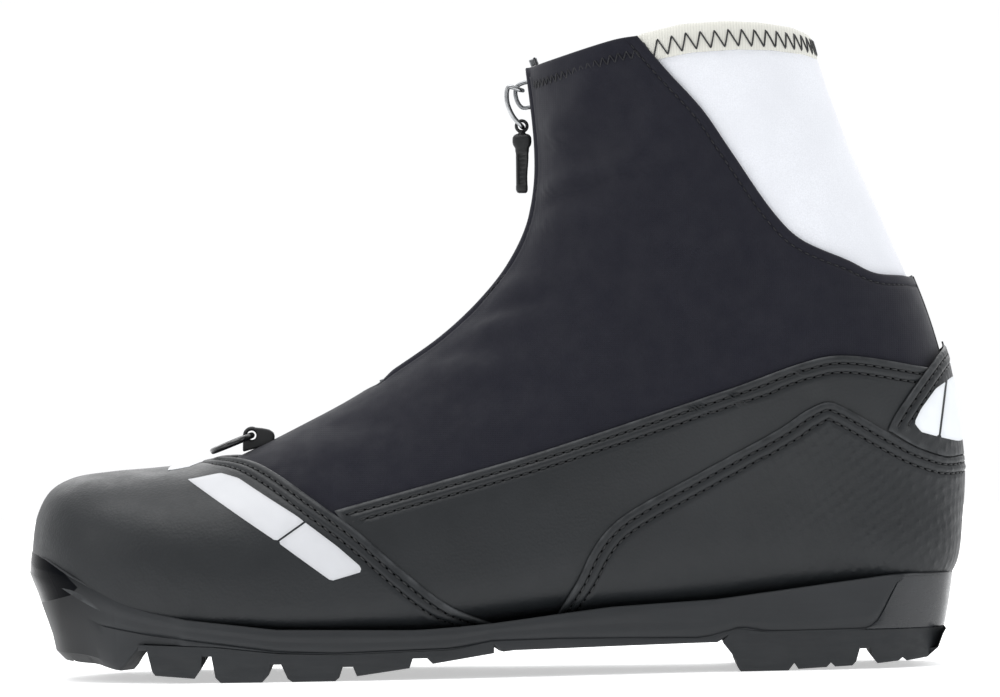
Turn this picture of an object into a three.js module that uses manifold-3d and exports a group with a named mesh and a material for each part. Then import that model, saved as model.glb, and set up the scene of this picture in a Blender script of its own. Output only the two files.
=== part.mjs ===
import * as THREE from 'three';
import { mergeVertices } from 'three/addons/utils/BufferGeometryUtils.js';
import Module from 'manifold-3d';

// Left cross country ski boot, in millimetres. Toe towards -X, lateral side towards -Y, +Z up, sole on Z = 0.

// Gap left between neighbouring pieces.
const GAP = 0.3;
// Reach of a cutting block beyond the boot.
const FAR = 90;

// Upper, as sections from the toe to the collar. Each joins a point on the front ridge to one on the base
// line: front x, front z, base x, base z, half width, where it is widest (0 front to 1 base), then the
// squareness of its front and of its base.
const SECTIONS = [
  [-145.7, 34, -117, 19.0, 40.5, 0.88, 2.1, 6.0],
  [-145.7, 43, -109, 17.8, 43.0, 0.85, 2.2, 5.5],
  [-144.3, 52.3, -101, 17.0, 45.0, 0.82, 2.3, 5.0],
  [-140.7, 58.8, -93, 16.3, 46.8, 0.80, 2.35, 4.6],
  [-134.0, 62.5, -85, 15.6, 48.2, 0.78, 2.35, 4.4],
  [-121.9, 64.3, -75, 14.9, 49.2, 0.75, 2.35, 4.2],
  [-106.9, 65.4, -65, 14.1, 49.8, 0.73, 2.3, 4.2],
  [-92.0, 67.2, -53, 13.6, 50.0, 0.71, 2.25, 4.2],
  [-76.6, 73.4, -39, 13.3, 49.6, 0.69, 2.2, 4.2],
  [-62.4, 80.2, -25, 13.3, 48.6, 0.68, 2.15, 4.2],
  [-46.4, 88.4, -9, 14.1, 46.8, 0.67, 2.1, 4.2],
  [-30.5, 98.2, 11, 16.1, 44.6, 0.66, 2.1, 4.2],
  [-16.1, 108.3, 35, 18.7, 42.6, 0.64, 2.1, 4.2],
  [-6.4, 117.0, 61, 19.7, 41.4, 0.61, 2.15, 4.2],
  [0.6, 124.6, 91, 21.9, 40.8, 0.58, 2.2, 4.2],
  [5.4, 131.7, 118, 23.7, 40.6, 0.56, 2.2, 4.0],
  [8.7, 137.9, 136, 24.9, 40.6, 0.54, 2.2, 3.6],
  [10.7, 142.9, 144.0, 31, 40.6, 0.52, 2.2, 3.0],
  [11.8, 147.2, 147.0, 48, 40.6, 0.50, 2.2, 2.5],
  [12.7, 151.7, 147.9, 62, 40.8, 0.50, 2.2, 2.4],
  [13.3, 157.0, 146.4, 79, 41.2, 0.50, 2.2, 2.3],
  [13.5, 164.0, 143.4, 97, 41.8, 0.50, 2.2, 2.25],
  [13.2, 172.0, 137.8, 116, 42.4, 0.50, 2.2, 2.2],
  [12.3, 182.0, 128.6, 138, 43.2, 0.50, 2.2, 2.2],
  [11.1, 193.0, 117.4, 163, 44.2, 0.50, 2.2, 2.2],
  [10.0, 203.0, 109.0, 187, 45.0, 0.50, 2.2, 2.2],
  [8.7, 214.0, 101.0, 216, 45.8, 0.50, 2.2, 2.2],
];
const RING_STEPS = 22;
// How far the heel draws in below the ankle, and how far the toe swings to the medial side.
const HEEL_PINCH = 0.13;
const TOE_SWING = 5;
const WAIST_SWING = -2.5;

// Seam lines in the side view, x and z.
const TOE_SEAM = [
  [-86.1, 69.0], [-80.5, 69.0], [-75.6, 68.0], [-68.8, 64.7], [-56.2, 56.1], [-43.6, 46.9], [-30.2, 35.1],
  [-14.8, 23.0], [-1.3, 16.9],
];
const QUARTER_TOP = [
  [-50.8, 53.4], [-23.3, 60.5], [13.4, 70.3], [50.1, 81.5], [74.6, 89.2], [97.0, 96.8], [106.0, 98.8],
  [115.0, 98.6], [136.2, 94.7],
];
const OVERLAY_TOP = [
  [18.5, 19.4], [25.3, 30.3], [29.9, 39.2], [34.5, 45.3], [40.8, 50.5], [65.2, 63.5], [90.4, 76.8], [98.5, 82.0],
  [104.8, 84.3], [109.5, 82.6], [123.3, 74.4], [131.3, 69.8], [137.0, 67.4], [142.3, 65.9], [149.7, 66.5],
];
const PATCH_FRONT = [[142.5, 100.1], [137.8, 95.1], [130.4, 85.8], [125.0, 78.0], [123.6, 74.9]];
const COVER_EDGE = [
  [46.5, 200.6], [55.3, 190.3], [67.3, 177.1], [75.5, 165.0], [89.8, 144.1], [97.6, 136.4], [113.8, 129.1],
  [122.0, 125.2], [132.6, 124.2],
];
const COVER_HEM = [[-2, 186.5], [12.1, 191.4], [18.2, 193.4], [39.6, 199.6], [46.5, 200.6]];
const COLLAR_TOP = [
  [12, 189], [47.9, 201.3], [61.3, 204.2], [75.6, 205.0], [86.7, 204.5], [96.3, 203.1], [104, 200],
];
const BAND_DEPTH = 9.2;
const FEATHER = [
  [-148.5, 41.0], [-143.1, 38.9], [-137.9, 35.7], [-129.1, 30.4], [-118.1, 24.8], [-109.6, 22.2], [-98.6, 19.8],
  [-85.9, 18.3], [-69.7, 16.3], [-24.8, 15.4], [-12.3, 16.1], [-1.3, 17.0], [17.8, 19.2], [35.3, 21.2],
  [68.8, 22.8], [104.6, 27.1], [122.5, 29.2], [130.5, 29.7], [149.0, 29.5],
];
const TOE_STRIPE = [
  [-96.9, 62.2], [-86.2, 64.2], [-80.5, 62.8], [-62.3, 51.7], [-49.7, 42.4], [-42.4, 36.1], [-42.3, 34.6],
  [-51.8, 32.0], [-68.5, 43.9],
];
const STRIPE_SPLIT = [[-59.6, 49.8], [-68.5, 43.9]];
const TOE_MARK = [[-104, 80], [-92, 80], [-97, 66.2], [-105.5, 65.2]];
const REFLECTOR = [
  [152, 92.2], [144.6, 91.2], [138.4, 87.5], [133.6, 81.4], [131.3, 77.0], [133.5, 74.1], [138.9, 72.4],
  [142.2, 71.5], [152, 73.0],
];
const REFLECTOR_SPLIT = [[141.8, 89.5], [139.2, 72.3]];

// Depth of each layer below the nominal surface of the upper, outer face then inner face.
const OVERLAY_LAYER = [-1.3, -0.3];
const TRIM_LAYER = [-2.1, -1.6];
const QUARTER_LAYER = [0, 1];
const COVER_LAYER = [1.3, 2.5];
const STIFFENER_LAYER = [2.8, 4.0];
const LINER_LAYER = [4.8, 6.6];
const CUFF_LAYER = [2.8, 9.5];
const TONGUE_LAYER = [14.5, 17.5];
const TONGUE_HALF = 15;
const LINER_THROAT = 18;
const CUFF_THROAT = { x0: 0, x1: 34, half: 19, z0: 100, z1: 220 };
const EYESTAY = { inner: 15.8, outer: 27 };
// Lasting board: its span on the base line, and its upper face above it. The footbed lies on the liner.
const BOARD = { from: 0.02, length: 0.575, steps: 14, top: 3.4 };
const FOOTBED = { clearance: 0.7, top: 4.6, margin: 7 };
const BAND_LAYER = [1.9, 2.5];
// Lap of a lower panel below the one sewn over it.
const LAP = 8;
// Turned-under margin of the panels, measured from the edge of the last.
const LASTING_MARGIN = 13;

// Zip path: an arc in the plane Y = 0. Angles are from +X towards +Z.
const ZIP = { x: -59.6, z: 167, r: 75.7, top: 18.4, bottom: -70.5 };
const COIL = { inner: 0.7, outer: 2.3, from: 2.0, to: 4.1 };
const TAPE = { inner: 2.6, outer: 7.4, from: 3.3, to: 3.9, start: 3.5, end: 2 };
const FLAP_EDGE = 5.3;
const STOP = { gap: 0.25, length: 1.65, under: 0.3, over: 0.2, halfWidth: 2.4 };
// Slider: the angles are measured on the zip's arc, the radii from its path.
const SLIDER = { angle: 12.4, half: 4.5, width: 4.6, flange: 2.7, flangeTo: 3.0 };
const SLIDER_PLATE = [-0.8, 1.5];
const SLIDER_BASE = [4.5, 5.4];
const SLIDER_POST = { halfWidth: 0.35, from: 2.6, to: 0.4 };
const BRIDGE = { top: -6.2, bar: 1.3, width: 1.1, half: 3.2, eye: 1.1, reach: 3 };
const LINK = { wire: 0.75, halfWidth: 2.4, endWidth: 0.8 };
const LINK_PATH = [[10.4, 184.4], [6.5, 185.4], [5.9, 181.2], [7.6, 176.4], [10.4, 173.0]];
const TAB = { x: 10.4, top: 170.6, shoulder: 167.4, neck: 166.0, bottom: 151.7 };
const TAB_SIZE = { width: 6.0, thick: 4.4, head: 3, corner: 0.8 };
const TAB_EYE = { radius: 1.25, lug: 0.85, half: 2, over: 2.2 };

// Gaiter ring and its holder on the vamp.
const RING = { pivot: [-77.2, 76.4], tip: [-89.6, 71.6], halfWidth: 9, wire: 1 };
const HOLDER = { width: 6, eye: 1.8 };
// Outline of the holder, from the ring's pivot.
const HOLDER_OUTLINE = [[-3.4, -5.6], [-3.4, 0.6], [-1.8, 2.7], [1.6, 3.0], [4.2, 2.2], [7.4, 0.2], [7.4, -3.6]];

// Throat lacing.
const LACE_ROWS = [0.365, 0.42, 0.475, 0.56, 0.70];
const LACE = { radius: 1.1, depth: 11.4, weave: 1.45, reach: 11.4, step: 0.008 };
const LOOP = { radius: 2.9, wire: 0.7, reach: 12.1 };

// Sole.
const PLAN_STATIONS = [
  -145.3, -143, -137.5, -128, -114, -97, -77, -54, -30, -5, 18, 42, 68, 95, 115, 128, 137, 142, 144.6,
];
const SOLE_MARGIN = 2.2;
// The toe bumper stands out further, and the heel hardly at all.
const TOE_EXTRA = 1.5;
const HEEL_CUT = 1.8;
const TREAD_MARGIN = 1.8;
const GUIDE = { inner: 12.5, outer: 19.5, top: 5.6 };
const BAR = { x: -127.5, z: 9.2, radius: 2, half: 27 };
const RECESS = { x0: -137, x1: -117.5, half: 20, top: 15 };
const SOLE_SPLIT = [
  [-113.4, 12.2], [-89.5, 11.2], [-68.8, 8.9], [-50.4, 8.3], [-15.1, 9.1], [-1.4, 11.4],
];
const HEEL_SPLIT = [[74.6, 13.6], [85.6, 12.2], [115.9, 12.4], [141.6, 12.2]];
const TOE_UNDERSIDE = [
  [-149.4, 33.6], [-147.7, 30.7], [-141.8, 12.0], [-141.6, 9.3], [-139.5, 6.5], [-135.7, 5.6], [-121.3, 3.8],
  [-119.9, 4.2], [-113.9, 10.4],
];
const FOREFOOT_LUGS = [
  [-113.2, 10.4], [-110.5, 10.4], [-108.9, 3.8], [-107.9, 2.4], [-95.5, 1.4], [-93.4, 4.3], [-93.0, 8.3],
  [-90.1, 8.3], [-88.9, 1.6], [-87.3, 0], [-74.2, 0], [-72.1, 2.3], [-71.4, 5.5], [-68.2, 5.5], [-66.2, 1.0],
  [-64.8, 0], [-51.3, 0], [-50.0, 1.1], [-49.0, 4.4], [-45.7, 4.4], [-44.5, 1.4], [-28.0, 3.6], [-26.9, 6.6],
  [-22.4, 6.6], [-20.7, 4.8], [-1.4, 7.7],
];
const HEEL_LUGS = [
  [70.8, 9.0], [74.3, 4.4], [75.2, 1.3], [76.0, 0], [91.2, 0], [93.0, 2.3], [94.3, 0.4], [103.2, 0.8],
  [104.6, 2.2], [105.9, 0.9], [111.3, 1.1], [112.6, 2.4], [113.8, 6.4], [117.2, 6.4], [118.0, 3.2], [119.3, 1.6],
  [126.0, 2.2], [127.4, 3.2], [128.7, 2.1], [135.4, 2.9], [139.0, 5.9], [140.7, 10.3], [141.6, 11.9],
];
const SOLE_BACK = [[142.0, 12.6], [142.8, 17.9], [144.3, 27.2]];

const wasm = await Module();
wasm.setup();
const { Manifold, Mesh } = wasm;

const clamp01 = (v) => Math.min(1, Math.max(0, v));
const smooth = (v) => clamp01(v) * clamp01(v) * (3 - 2 * clamp01(v));
const radians = (degrees) => (degrees * Math.PI) / 180;

function solidFrom(geometry) {
  const plain = geometry.index ? geometry.toNonIndexed() : geometry.clone();
  plain.deleteAttribute('normal');
  plain.deleteAttribute('uv');
  const merged = mergeVertices(plain, 1e-4);
  const vertProperties = new Float32Array(merged.attributes.position.array);
  const triVerts = new Uint32Array(merged.index.array);
  return new Manifold(new Mesh({ numProp: 3, vertProperties, triVerts }));
}

function geometryFrom(solid) {
  const mesh = solid.getMesh();
  const geometry = new THREE.BufferGeometry();
  geometry.setAttribute('position', new THREE.BufferAttribute(new Float32Array(mesh.vertProperties), 3));
  geometry.setIndex(new THREE.BufferAttribute(new Uint32Array(mesh.triVerts), 1));
  return geometry;
}

// A side-view outline as a block between two Y values.
function sideBlock(outline, y0, y1) {
  const shape = new THREE.Shape(outline.map(([x, z]) => new THREE.Vector2(x, z)));
  const geometry = new THREE.ExtrudeGeometry(shape, { depth: y1 - y0, bevelEnabled: false });
  geometry.rotateX(Math.PI / 2);
  geometry.translate(0, y1, 0);
  return solidFrom(geometry);
}

// A plan outline as a block between two Z values.
function planBlock(outline, z0, z1) {
  const shape = new THREE.Shape(outline.map(([x, y]) => new THREE.Vector2(x, y)));
  const geometry = new THREE.ExtrudeGeometry(shape, { depth: z1 - z0, bevelEnabled: false });
  geometry.translate(0, 0, z0);
  return solidFrom(geometry);
}

function block(x0, x1, y0, y1, z0, z1) {
  const geometry = new THREE.BoxGeometry(x1 - x0, y1 - y0, z1 - z0);
  geometry.translate((x0 + x1) / 2, (y0 + y1) / 2, (z0 + z1) / 2);
  return solidFrom(geometry);
}

const column = (a, b) => SECTIONS.map((row) => new THREE.Vector3(row[a], row[b], 0));
const frontCurve = new THREE.CatmullRomCurve3(column(0, 1));
const baseCurve = new THREE.CatmullRomCurve3(column(2, 3));
const widthCurve = new THREE.CatmullRomCurve3(column(4, 5));
const squareCurve = new THREE.CatmullRomCurve3(column(6, 7));

function sideways(x, z, y) {
  const pinch = 1 - HEEL_PINCH * smooth((x - 10) / 60) * smooth((100 - z) / 55);
  const toeSwing = TOE_SWING * smooth((-60 - x) / 80);
  const waistSwing = WAIST_SWING * smooth((x + 60) / 60) * smooth((110 - x) / 70);
  const swing = x < -60 ? toeSwing : waistSwing;
  return y * pinch + swing * smooth((118 - z) / 60);
}

// Ends of the section at s, moved inward by depth, with its half width and squareness.
function sectionAt(s, depth) {
  const front = frontCurve.getPoint(s);
  const base = baseCurve.getPoint(s);
  const frontWay = frontCurve.getTangent(s);
  const baseWay = baseCurve.getTangent(s);
  front.add(new THREE.Vector3(frontWay.y, -frontWay.x, 0).multiplyScalar(depth));
  base.add(new THREE.Vector3(-baseWay.y, baseWay.x, 0).multiplyScalar(depth));
  const lift = depth * (1 - smooth(s / 0.12));
  const way = base.clone().sub(front).normalize();
  const rise = new THREE.Vector3(-way.y, way.x, 0).multiplyScalar(lift);
  front.add(rise);
  base.add(rise);
  const width = widthCurve.getPoint(s);
  const square = squareCurve.getPoint(s);
  return { front, base, half: width.x - depth, widest: width.y, nf: square.x, nb: square.y };
}

// Point of the upper at section s and angle a round it: 0 is the front ridge, half a turn is the base line.
function upperPoint(s, a, depth) {
  const cut = sectionAt(s, depth);
  const cos = Math.cos(a);
  const square = cos > 0 ? cut.nf : cut.nb;
  const along = Math.sign(cos) * Math.abs(cos) ** (2 / square);
  const across = Math.sign(Math.sin(a)) * Math.abs(Math.sin(a)) ** (2 / square);
  const t = cos > 0 ? cut.widest * (1 - along) : cut.widest - (1 - cut.widest) * along;
  const p = cut.front.clone().lerp(cut.base, t);
  return new THREE.Vector3(p.x, sideways(p.x, p.y, across * cut.half), p.y);
}

// Closed solid inside the nominal surface moved inward by depth.
function upperSolid(depth, stepsAlong = 32, stepsRound = RING_STEPS) {
  const positions = [];
  const index = [];
  for (let i = 0; i <= stepsAlong; i += 1) {
    for (let j = 0; j < stepsRound; j += 1) {
      const p = upperPoint(i / stepsAlong, (2 * Math.PI * j) / stepsRound, depth);
      positions.push(p.x, p.y, p.z);
    }
  }
  const at = (i, j) => i * stepsRound + (j % stepsRound);
  for (let i = 0; i < stepsAlong; i += 1) {
    for (let j = 0; j < stepsRound; j += 1) {
      index.push(at(i, j), at(i + 1, j), at(i, j + 1), at(i + 1, j), at(i + 1, j + 1), at(i, j + 1));
    }
  }
  for (const [ring, turn] of [[0, false], [stepsAlong, true]]) {
    const half = stepsRound / 2;
    for (let j = 0; j < half; j += 1) {
      const a = at(ring, j);
      const b = at(ring, j + 1);
      const c = at(ring, stepsRound - j);
      const d = at(ring, stepsRound - j - 1);
      const faces = [[a, b, c], [b, d, c]].filter(([p, q, r]) => p !== q && q !== r && p !== r);
      for (const [p, q, r] of faces) {
        index.push(p, turn ? r : q, turn ? q : r);
      }
    }
  }
  const geometry = new THREE.BufferGeometry();
  geometry.setAttribute('position', new THREE.Float32BufferAttribute(positions, 3));
  geometry.setIndex(index);
  return solidFrom(geometry);
}

const solids = new Map();
function upper(depth) {
  if (!solids.has(depth)) {
    solids.set(depth, upperSolid(depth));
  }
  return solids.get(depth);
}

const layer = ([outer, inner]) => upper(outer).subtract(upper(inner));
// A layer with fewer faces, for the pieces hidden inside.
const coarseLayer = ([outer, inner]) => upperSolid(outer, 25, 18).subtract(upperSolid(inner, 25, 18));
// Y range of a piece that lies between two distances from the middle, on one side.
const sidePair = (side, inner, outer) => (side < 0 ? [-outer, -inner] : [inner, outer]);
const lateral = (outline) => sideBlock(outline, -FAR, -GAP / 2);
const medial = (outline) => sideBlock(outline, GAP / 2, FAR);
const whole = (outline) => sideBlock(outline, -FAR, FAR);

// Half width of the upper where the side view shows x and z.
function halfWidthAt(x, z, side) {
  let low = 0;
  let high = 1;
  const ahead = (s) => {
    const { front, base } = sectionAt(s, 0);
    return (base.x - front.x) * (z - front.y) - (base.y - front.y) * (x - front.x);
  };
  for (let i = 0; i < 40; i += 1) {
    const mid = (low + high) / 2;
    if (ahead(mid) > 0) {
      low = mid;
    } else {
      high = mid;
    }
  }
  const cut = sectionAt(low, 0);
  const chord = cut.base.clone().sub(cut.front);
  const t = clamp01(((x - cut.front.x) * chord.x + (z - cut.front.y) * chord.y) / chord.lengthSq());
  const c = t < cut.widest ? 1 - t / cut.widest : (t - cut.widest) / (1 - cut.widest);
  const square = t < cut.widest ? cut.nf : cut.nb;
  const across = clamp01(1 - c ** square) ** (1 / square);
  return sideways(x, z, side * across * cut.half);
}

// Height at which the plan outline is read, higher over the toe spring and the heel.
const planLevel = (x) => 28 + 18 * smooth((-112 - x) / 33) + 8 * smooth((x - 20) / 90);
const toeAndHeelMargin = (x) => TOE_EXTRA * smooth((-112 - x) / 28) - HEEL_CUT * smooth((x - 105) / 36);

// Plan outline of the boot just above the sole, moved outward by margin.
function planOutline(margin) {
  const edge = (side) => PLAN_STATIONS.map((x) => new THREE.Vector2(x, halfWidthAt(x, planLevel(x), side)));
  const loop = [...edge(-1), ...edge(1).reverse()];
  return loop.map((p, i) => {
    const before = loop[(i + loop.length - 1) % loop.length];
    const after = loop[(i + 1) % loop.length];
    const way = after.clone().sub(before).normalize();
    const out = margin > 0 ? margin + toeAndHeelMargin(p.x) : margin;
    return [p.x + way.y * out, p.y - way.x * out];
  });
}

const shifted = (line, dx, dz) => line.map(([x, z]) => [x + dx, z + dz]);

// Regions of the side view.
const toeRegion = [[-92, 90], [-87.5, 74], ...TOE_SEAM, [2, 8], [-170, 8], [-170, 90]];
const quarterLine = [...QUARTER_TOP, [165, 89]];
const quarterRegion = [...quarterLine, [165, 5], [10, 5], [-22, 21], [-38, 34], [-54, 46.5]];
const overlayRegion = [[14, 8], ...OVERLAY_TOP, [165, 68], [165, 8]];
const patchRegion = [
  [165, 100.5], ...PATCH_FRONT, ...shifted(OVERLAY_TOP.slice(10), 0.2, 0.5), [165, 68.8],
];
const coverTop = [...COVER_HEM, ...COVER_EDGE.slice(1), [165, 123.5]];
const coverRegion = [
  [-97, 84], [-93, 70], [-85.5, 60], [-76, 58], [-66, 52.5], [-58.5, 45.4],
  ...shifted(QUARTER_TOP, 0, -LAP), [165, 82], ...coverTop.slice().reverse(), [-60, 170],
];
const cuffRegion = [
  ...COLLAR_TOP.slice(1, -1), [112, 198.6], [175, 124], [175, 113], [120, 113], [92, 124], [60, 150], [20, 158],
  [8, 158], [8, 190],
];
const bandLow = shifted(COLLAR_TOP.slice(1), 0, -BAND_DEPTH).reverse();
const bandRegion = [
  [48.5, 201.4], ...COLLAR_TOP.slice(2, -1), [104, 201.8], [118, 199], [118, 192.5], ...bandLow.slice(1, -1),
  [58.6, 193.2],
];
const bandEnd = shifted([...COVER_EDGE.slice(0, 5), [60, 120], [-20, 120], [-20, 230], [40, 230]], 1, 1);
const linerRegion = [
  [-170, 10], [-170, 120], [-40, 150], [-20, 190], [8, 190], [20, 157.5], [60, 149.5], [92, 123.5], [120, 112.5],
  [175, 112.5], [175, 10],
];
const linerThroat = [[-76, 96], [-48, 71], [40, 100], [40, 210], [-76, 210]];
const tongueRegion = [
  [-72, 66], [-68, 52], [-40, 62], [-10, 84], [14, 104], [34, 130], [42, 160], [42, 192], [20, 196], [-20, 190],
];
const eyestayRegion = [[-64, 90], [-48, 62], [-10, 84], [14, 108], [31, 140], [32, 154], [0, 154]];
const counterRegion = [[62, 28], [82, 50], [112, 72], [165, 78], [165, 30], [150, 29]];
const puffRegion = [[-108, 90], [-104, 58], [-112, 30], [-170, 44], [-170, 90]];
const soleRegion = [
  ...FEATHER, [148, 27], ...SOLE_BACK.slice().reverse(), ...HEEL_SPLIT.slice().reverse(), [70.4, 9.4], [4.9, 8.5],
  [-1.1, 7.8], ...SOLE_SPLIT.slice().reverse(), ...TOE_UNDERSIDE.slice().reverse(),
];
const toeBedRegion = [...toeRegion.slice(0, 11), [2, 8], [-170, 8], [-170, 90]];

function lastingCore() {
  return planBlock(planOutline(-LASTING_MARGIN), -5, 30);
}

function buildToeCap(core) {
  return layer(OVERLAY_LAYER).intersect(whole(toeRegion)).subtract(core);
}

function buildQuarter(side, core) {
  const region = side < 0 ? lateral(quarterRegion) : medial(quarterRegion);
  return layer(QUARTER_LAYER).intersect(region).subtract(core);
}

function buildHeelOverlay(core) {
  return layer(OVERLAY_LAYER).intersect(whole(overlayRegion)).subtract(core);
}

function buildHeelPatch() {
  return layer(OVERLAY_LAYER).intersect(whole(patchRegion));
}

// Closing line of the cover: the zip's width above the bottom stop, a butt seam below it.
function zipSlot() {
  const end = radians(ZIP.bottom - 5);
  const foot = [ZIP.x + ZIP.r * Math.cos(end), ZIP.z + ZIP.r * Math.sin(end)];
  const outline = [[foot[0] - 6, foot[1] + 16], [foot[0] + 10, foot[1] - 14], [45, 125], [45, 215], [-60, 215]];
  return sideBlock(outline, -FLAP_EDGE, FLAP_EDGE);
}

function buildCover(side) {
  const region = side < 0 ? lateral(coverRegion) : medial(coverRegion);
  return layer(COVER_LAYER).intersect(region).subtract(zipSlot());
}

function buildCuff() {
  const { x0, x1, half, z0, z1 } = CUFF_THROAT;
  return layer(CUFF_LAYER).intersect(whole(cuffRegion)).subtract(block(x0, x1, -half, half, z0, z1));
}

function buildBinding() {
  return layer(BAND_LAYER).intersect(whole(bandRegion)).subtract(whole(bandEnd));
}

function buildLiner() {
  const throat = sideBlock(linerThroat, -LINER_THROAT, LINER_THROAT);
  return coarseLayer(LINER_LAYER).intersect(whole(linerRegion)).subtract(throat);
}

function buildTongue() {
  return coarseLayer(TONGUE_LAYER).intersect(sideBlock(tongueRegion, -TONGUE_HALF, TONGUE_HALF));
}

function buildEyestay(side) {
  const [y0, y1] = sidePair(side, EYESTAY.inner, EYESTAY.outer);
  return layer(STIFFENER_LAYER).intersect(sideBlock(eyestayRegion, y0, y1));
}

function buildHeelCounter() {
  return layer(STIFFENER_LAYER).intersect(whole(counterRegion));
}

function buildToePuff() {
  return layer(STIFFENER_LAYER).intersect(whole(puffRegion));
}

// Sheet that follows the base line between two heights above it.
function boardBlock(low, high, margin) {
  const { from, length, steps } = BOARD;
  const ribbon = [];
  for (let i = 0; i <= steps; i += 1) {
    ribbon.push(baseCurve.getPoint(from + (length * i) / steps));
  }
  const outline = [...ribbon.map((p) => [p.x, p.y + low]), ...ribbon.map((p) => [p.x, p.y + high]).reverse()];
  return whole(outline).intersect(planBlock(planOutline(-margin), 0, 60)).intersect(upper(GAP));
}

const buildLastingBoard = () => boardBlock(GAP, BOARD.top, LASTING_MARGIN + GAP);

function buildFootbed() {
  const { clearance, top, margin } = FOOTBED;
  const low = LINER_LAYER[1] + clearance;
  return upper(low).intersect(boardBlock(low, LINER_LAYER[1] + top, margin));
}

function buildChassis() {
  const recess = block(RECESS.x0, RECESS.x1, -RECESS.half, RECESS.half, -1, RECESS.top);
  const overlays = upper(OVERLAY_LAYER[0] - GAP);
  return whole(soleRegion)
    .intersect(planBlock(planOutline(SOLE_MARGIN), -5, 60))
    .subtract(upper(-GAP))
    .subtract(overlays.intersect(whole(toeBedRegion)))
    .subtract(overlays.intersect(whole(overlayRegion)))
    .subtract(recess)
    .subtract(barSolid(BAR.radius + GAP, BAR.half + GAP));
}

function barSolid(radius, half) {
  const geometry = new THREE.CylinderGeometry(radius, radius, half * 2, 20);
  geometry.translate(BAR.x, 0, BAR.z);
  return solidFrom(geometry);
}

function buildTread(lugs, top) {
  const outline = [...lugs, ...shifted(top, 0, -GAP).reverse()];
  const guides = [-1, 1].map((side) => {
    const [y0, y1] = sidePair(side, GUIDE.inner, GUIDE.outer);
    return block(-160, 160, y0, y1, -5, GUIDE.top);
  });
  return whole(outline)
    .intersect(planBlock(planOutline(TREAD_MARGIN), -5, 60))
    .subtract(guides[0])
    .subtract(guides[1]);
}

// Arc-shaped bar about the zip's centre, between two angles, two radii and two Y values.
function arcBar(from, to, r0, r1, y0, y1, steps) {
  const ring = (r, a) => [ZIP.x + r * Math.cos(radians(a)), ZIP.z + r * Math.sin(radians(a))];
  const angles = Array.from({ length: steps + 1 }, (_, i) => from + ((to - from) * i) / steps);
  const inner = angles.map((a) => ring(ZIP.r + r0, a));
  const outer = angles.map((a) => ring(ZIP.r + r1, a));
  const outline = [...inner, ...outer.reverse()];
  return sideBlock(outline, y0, y1);
}

function buildCoil(side) {
  const [y0, y1] = sidePair(side, COIL.inner, COIL.outer);
  return arcBar(ZIP.bottom, ZIP.top, COIL.from, COIL.to, y0, y1, 18);
}

function buildTape(side) {
  const [y0, y1] = sidePair(side, TAPE.inner, TAPE.outer);
  return arcBar(ZIP.bottom + TAPE.start, ZIP.top + TAPE.end, TAPE.from, TAPE.to, y0, y1, 18);
}

function buildTopStop(side) {
  const [y0, y1] = sidePair(side, COIL.inner, STOP.halfWidth);
  const from = ZIP.top + STOP.gap;
  return arcBar(from, from + STOP.length, COIL.from - STOP.under, COIL.to + STOP.over, y0, y1, 2);
}

function buildBottomStop() {
  const [from, to] = [COIL.from - STOP.under, COIL.to + STOP.over];
  return arcBar(ZIP.bottom - 2, ZIP.bottom - GAP, from, to, -STOP.halfWidth, STOP.halfWidth, 2);
}

function buildSlider() {
  const { angle, half, width, flange, flangeTo } = SLIDER;
  const [plateOut, plateIn] = SLIDER_PLATE;
  const [baseIn, baseOut] = SLIDER_BASE;
  const { halfWidth, from, to } = SLIDER_POST;
  const bar = (r0, r1, y0, y1) => arcBar(angle - half, angle + half, r0, r1, y0, y1, 4);
  const [low, high] = [angle + half - from, angle + half - to];
  const post = arcBar(low, high, plateOut + 0.2, baseIn + 0.7, -halfWidth, halfWidth, 2);
  return bar(plateOut, plateIn, -width, width)
    .add(bar(baseIn, baseOut, -width, width))
    .add(post)
    .add(bar(plateIn - 0.2, flangeTo, -width, -flange))
    .add(bar(plateIn - 0.2, flangeTo, flange, width))
    .add(buildBridge(plateOut));
}

// Arch on the slider's front plate that the link hangs from.
function buildBridge(plateOut) {
  const { top, bar, width, half, eye, reach } = BRIDGE;
  const [low, high] = [SLIDER.angle - half, SLIDER.angle + half];
  const arch = arcBar(low, high, top, plateOut + 0.2, -width, width, 4);
  const opening = arcBar(low + eye, high - eye, top + bar, plateOut - 0.4, -reach, reach, 4);
  return arch.subtract(opening);
}

function tube(points, radius, steps, sides, closed = false) {
  const curve = new THREE.CatmullRomCurve3(points, closed);
  const shape = new THREE.Shape();
  for (let i = 0; i < sides; i += 1) {
    const a = (2 * Math.PI * i) / sides;
    const [x, y] = [radius * Math.cos(a), radius * Math.sin(a)];
    if (i === 0) {
      shape.moveTo(x, y);
    } else {
      shape.lineTo(x, y);
    }
  }
  return new THREE.ExtrudeGeometry(shape, { steps, extrudePath: curve, bevelEnabled: false });
}

function buildLink() {
  const { halfWidth, endWidth, wire } = LINK;
  const last = LINK_PATH.length - 1;
  const leg = (y) => LINK_PATH.map(([x, z], i) => new THREE.Vector3(x, i % last === 0 ? y * endWidth : y, z));
  return solidFrom(tube([...leg(-halfWidth), ...leg(halfWidth).reverse()], wire, 30, 6, true));
}

function buildTab() {
  const { x, top, shoulder, neck, bottom } = TAB;
  const { width, thick, head, corner } = TAB_SIZE;
  const w = thick / 2;
  const outline = [
    [x - head, shoulder], [x - head, top - 1.2], [x - 2, top], [x + 2, top], [x + head, top - 1.2],
    [x + head, shoulder], [x + w, neck], [x + w, bottom + corner], [x + w - corner, bottom],
    [x - w + corner, bottom], [x - w, bottom + corner], [x - w, neck],
  ];
  return sideBlock(outline, -width / 2, width / 2).add(tabLug()).subtract(tabEye());
}

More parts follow.
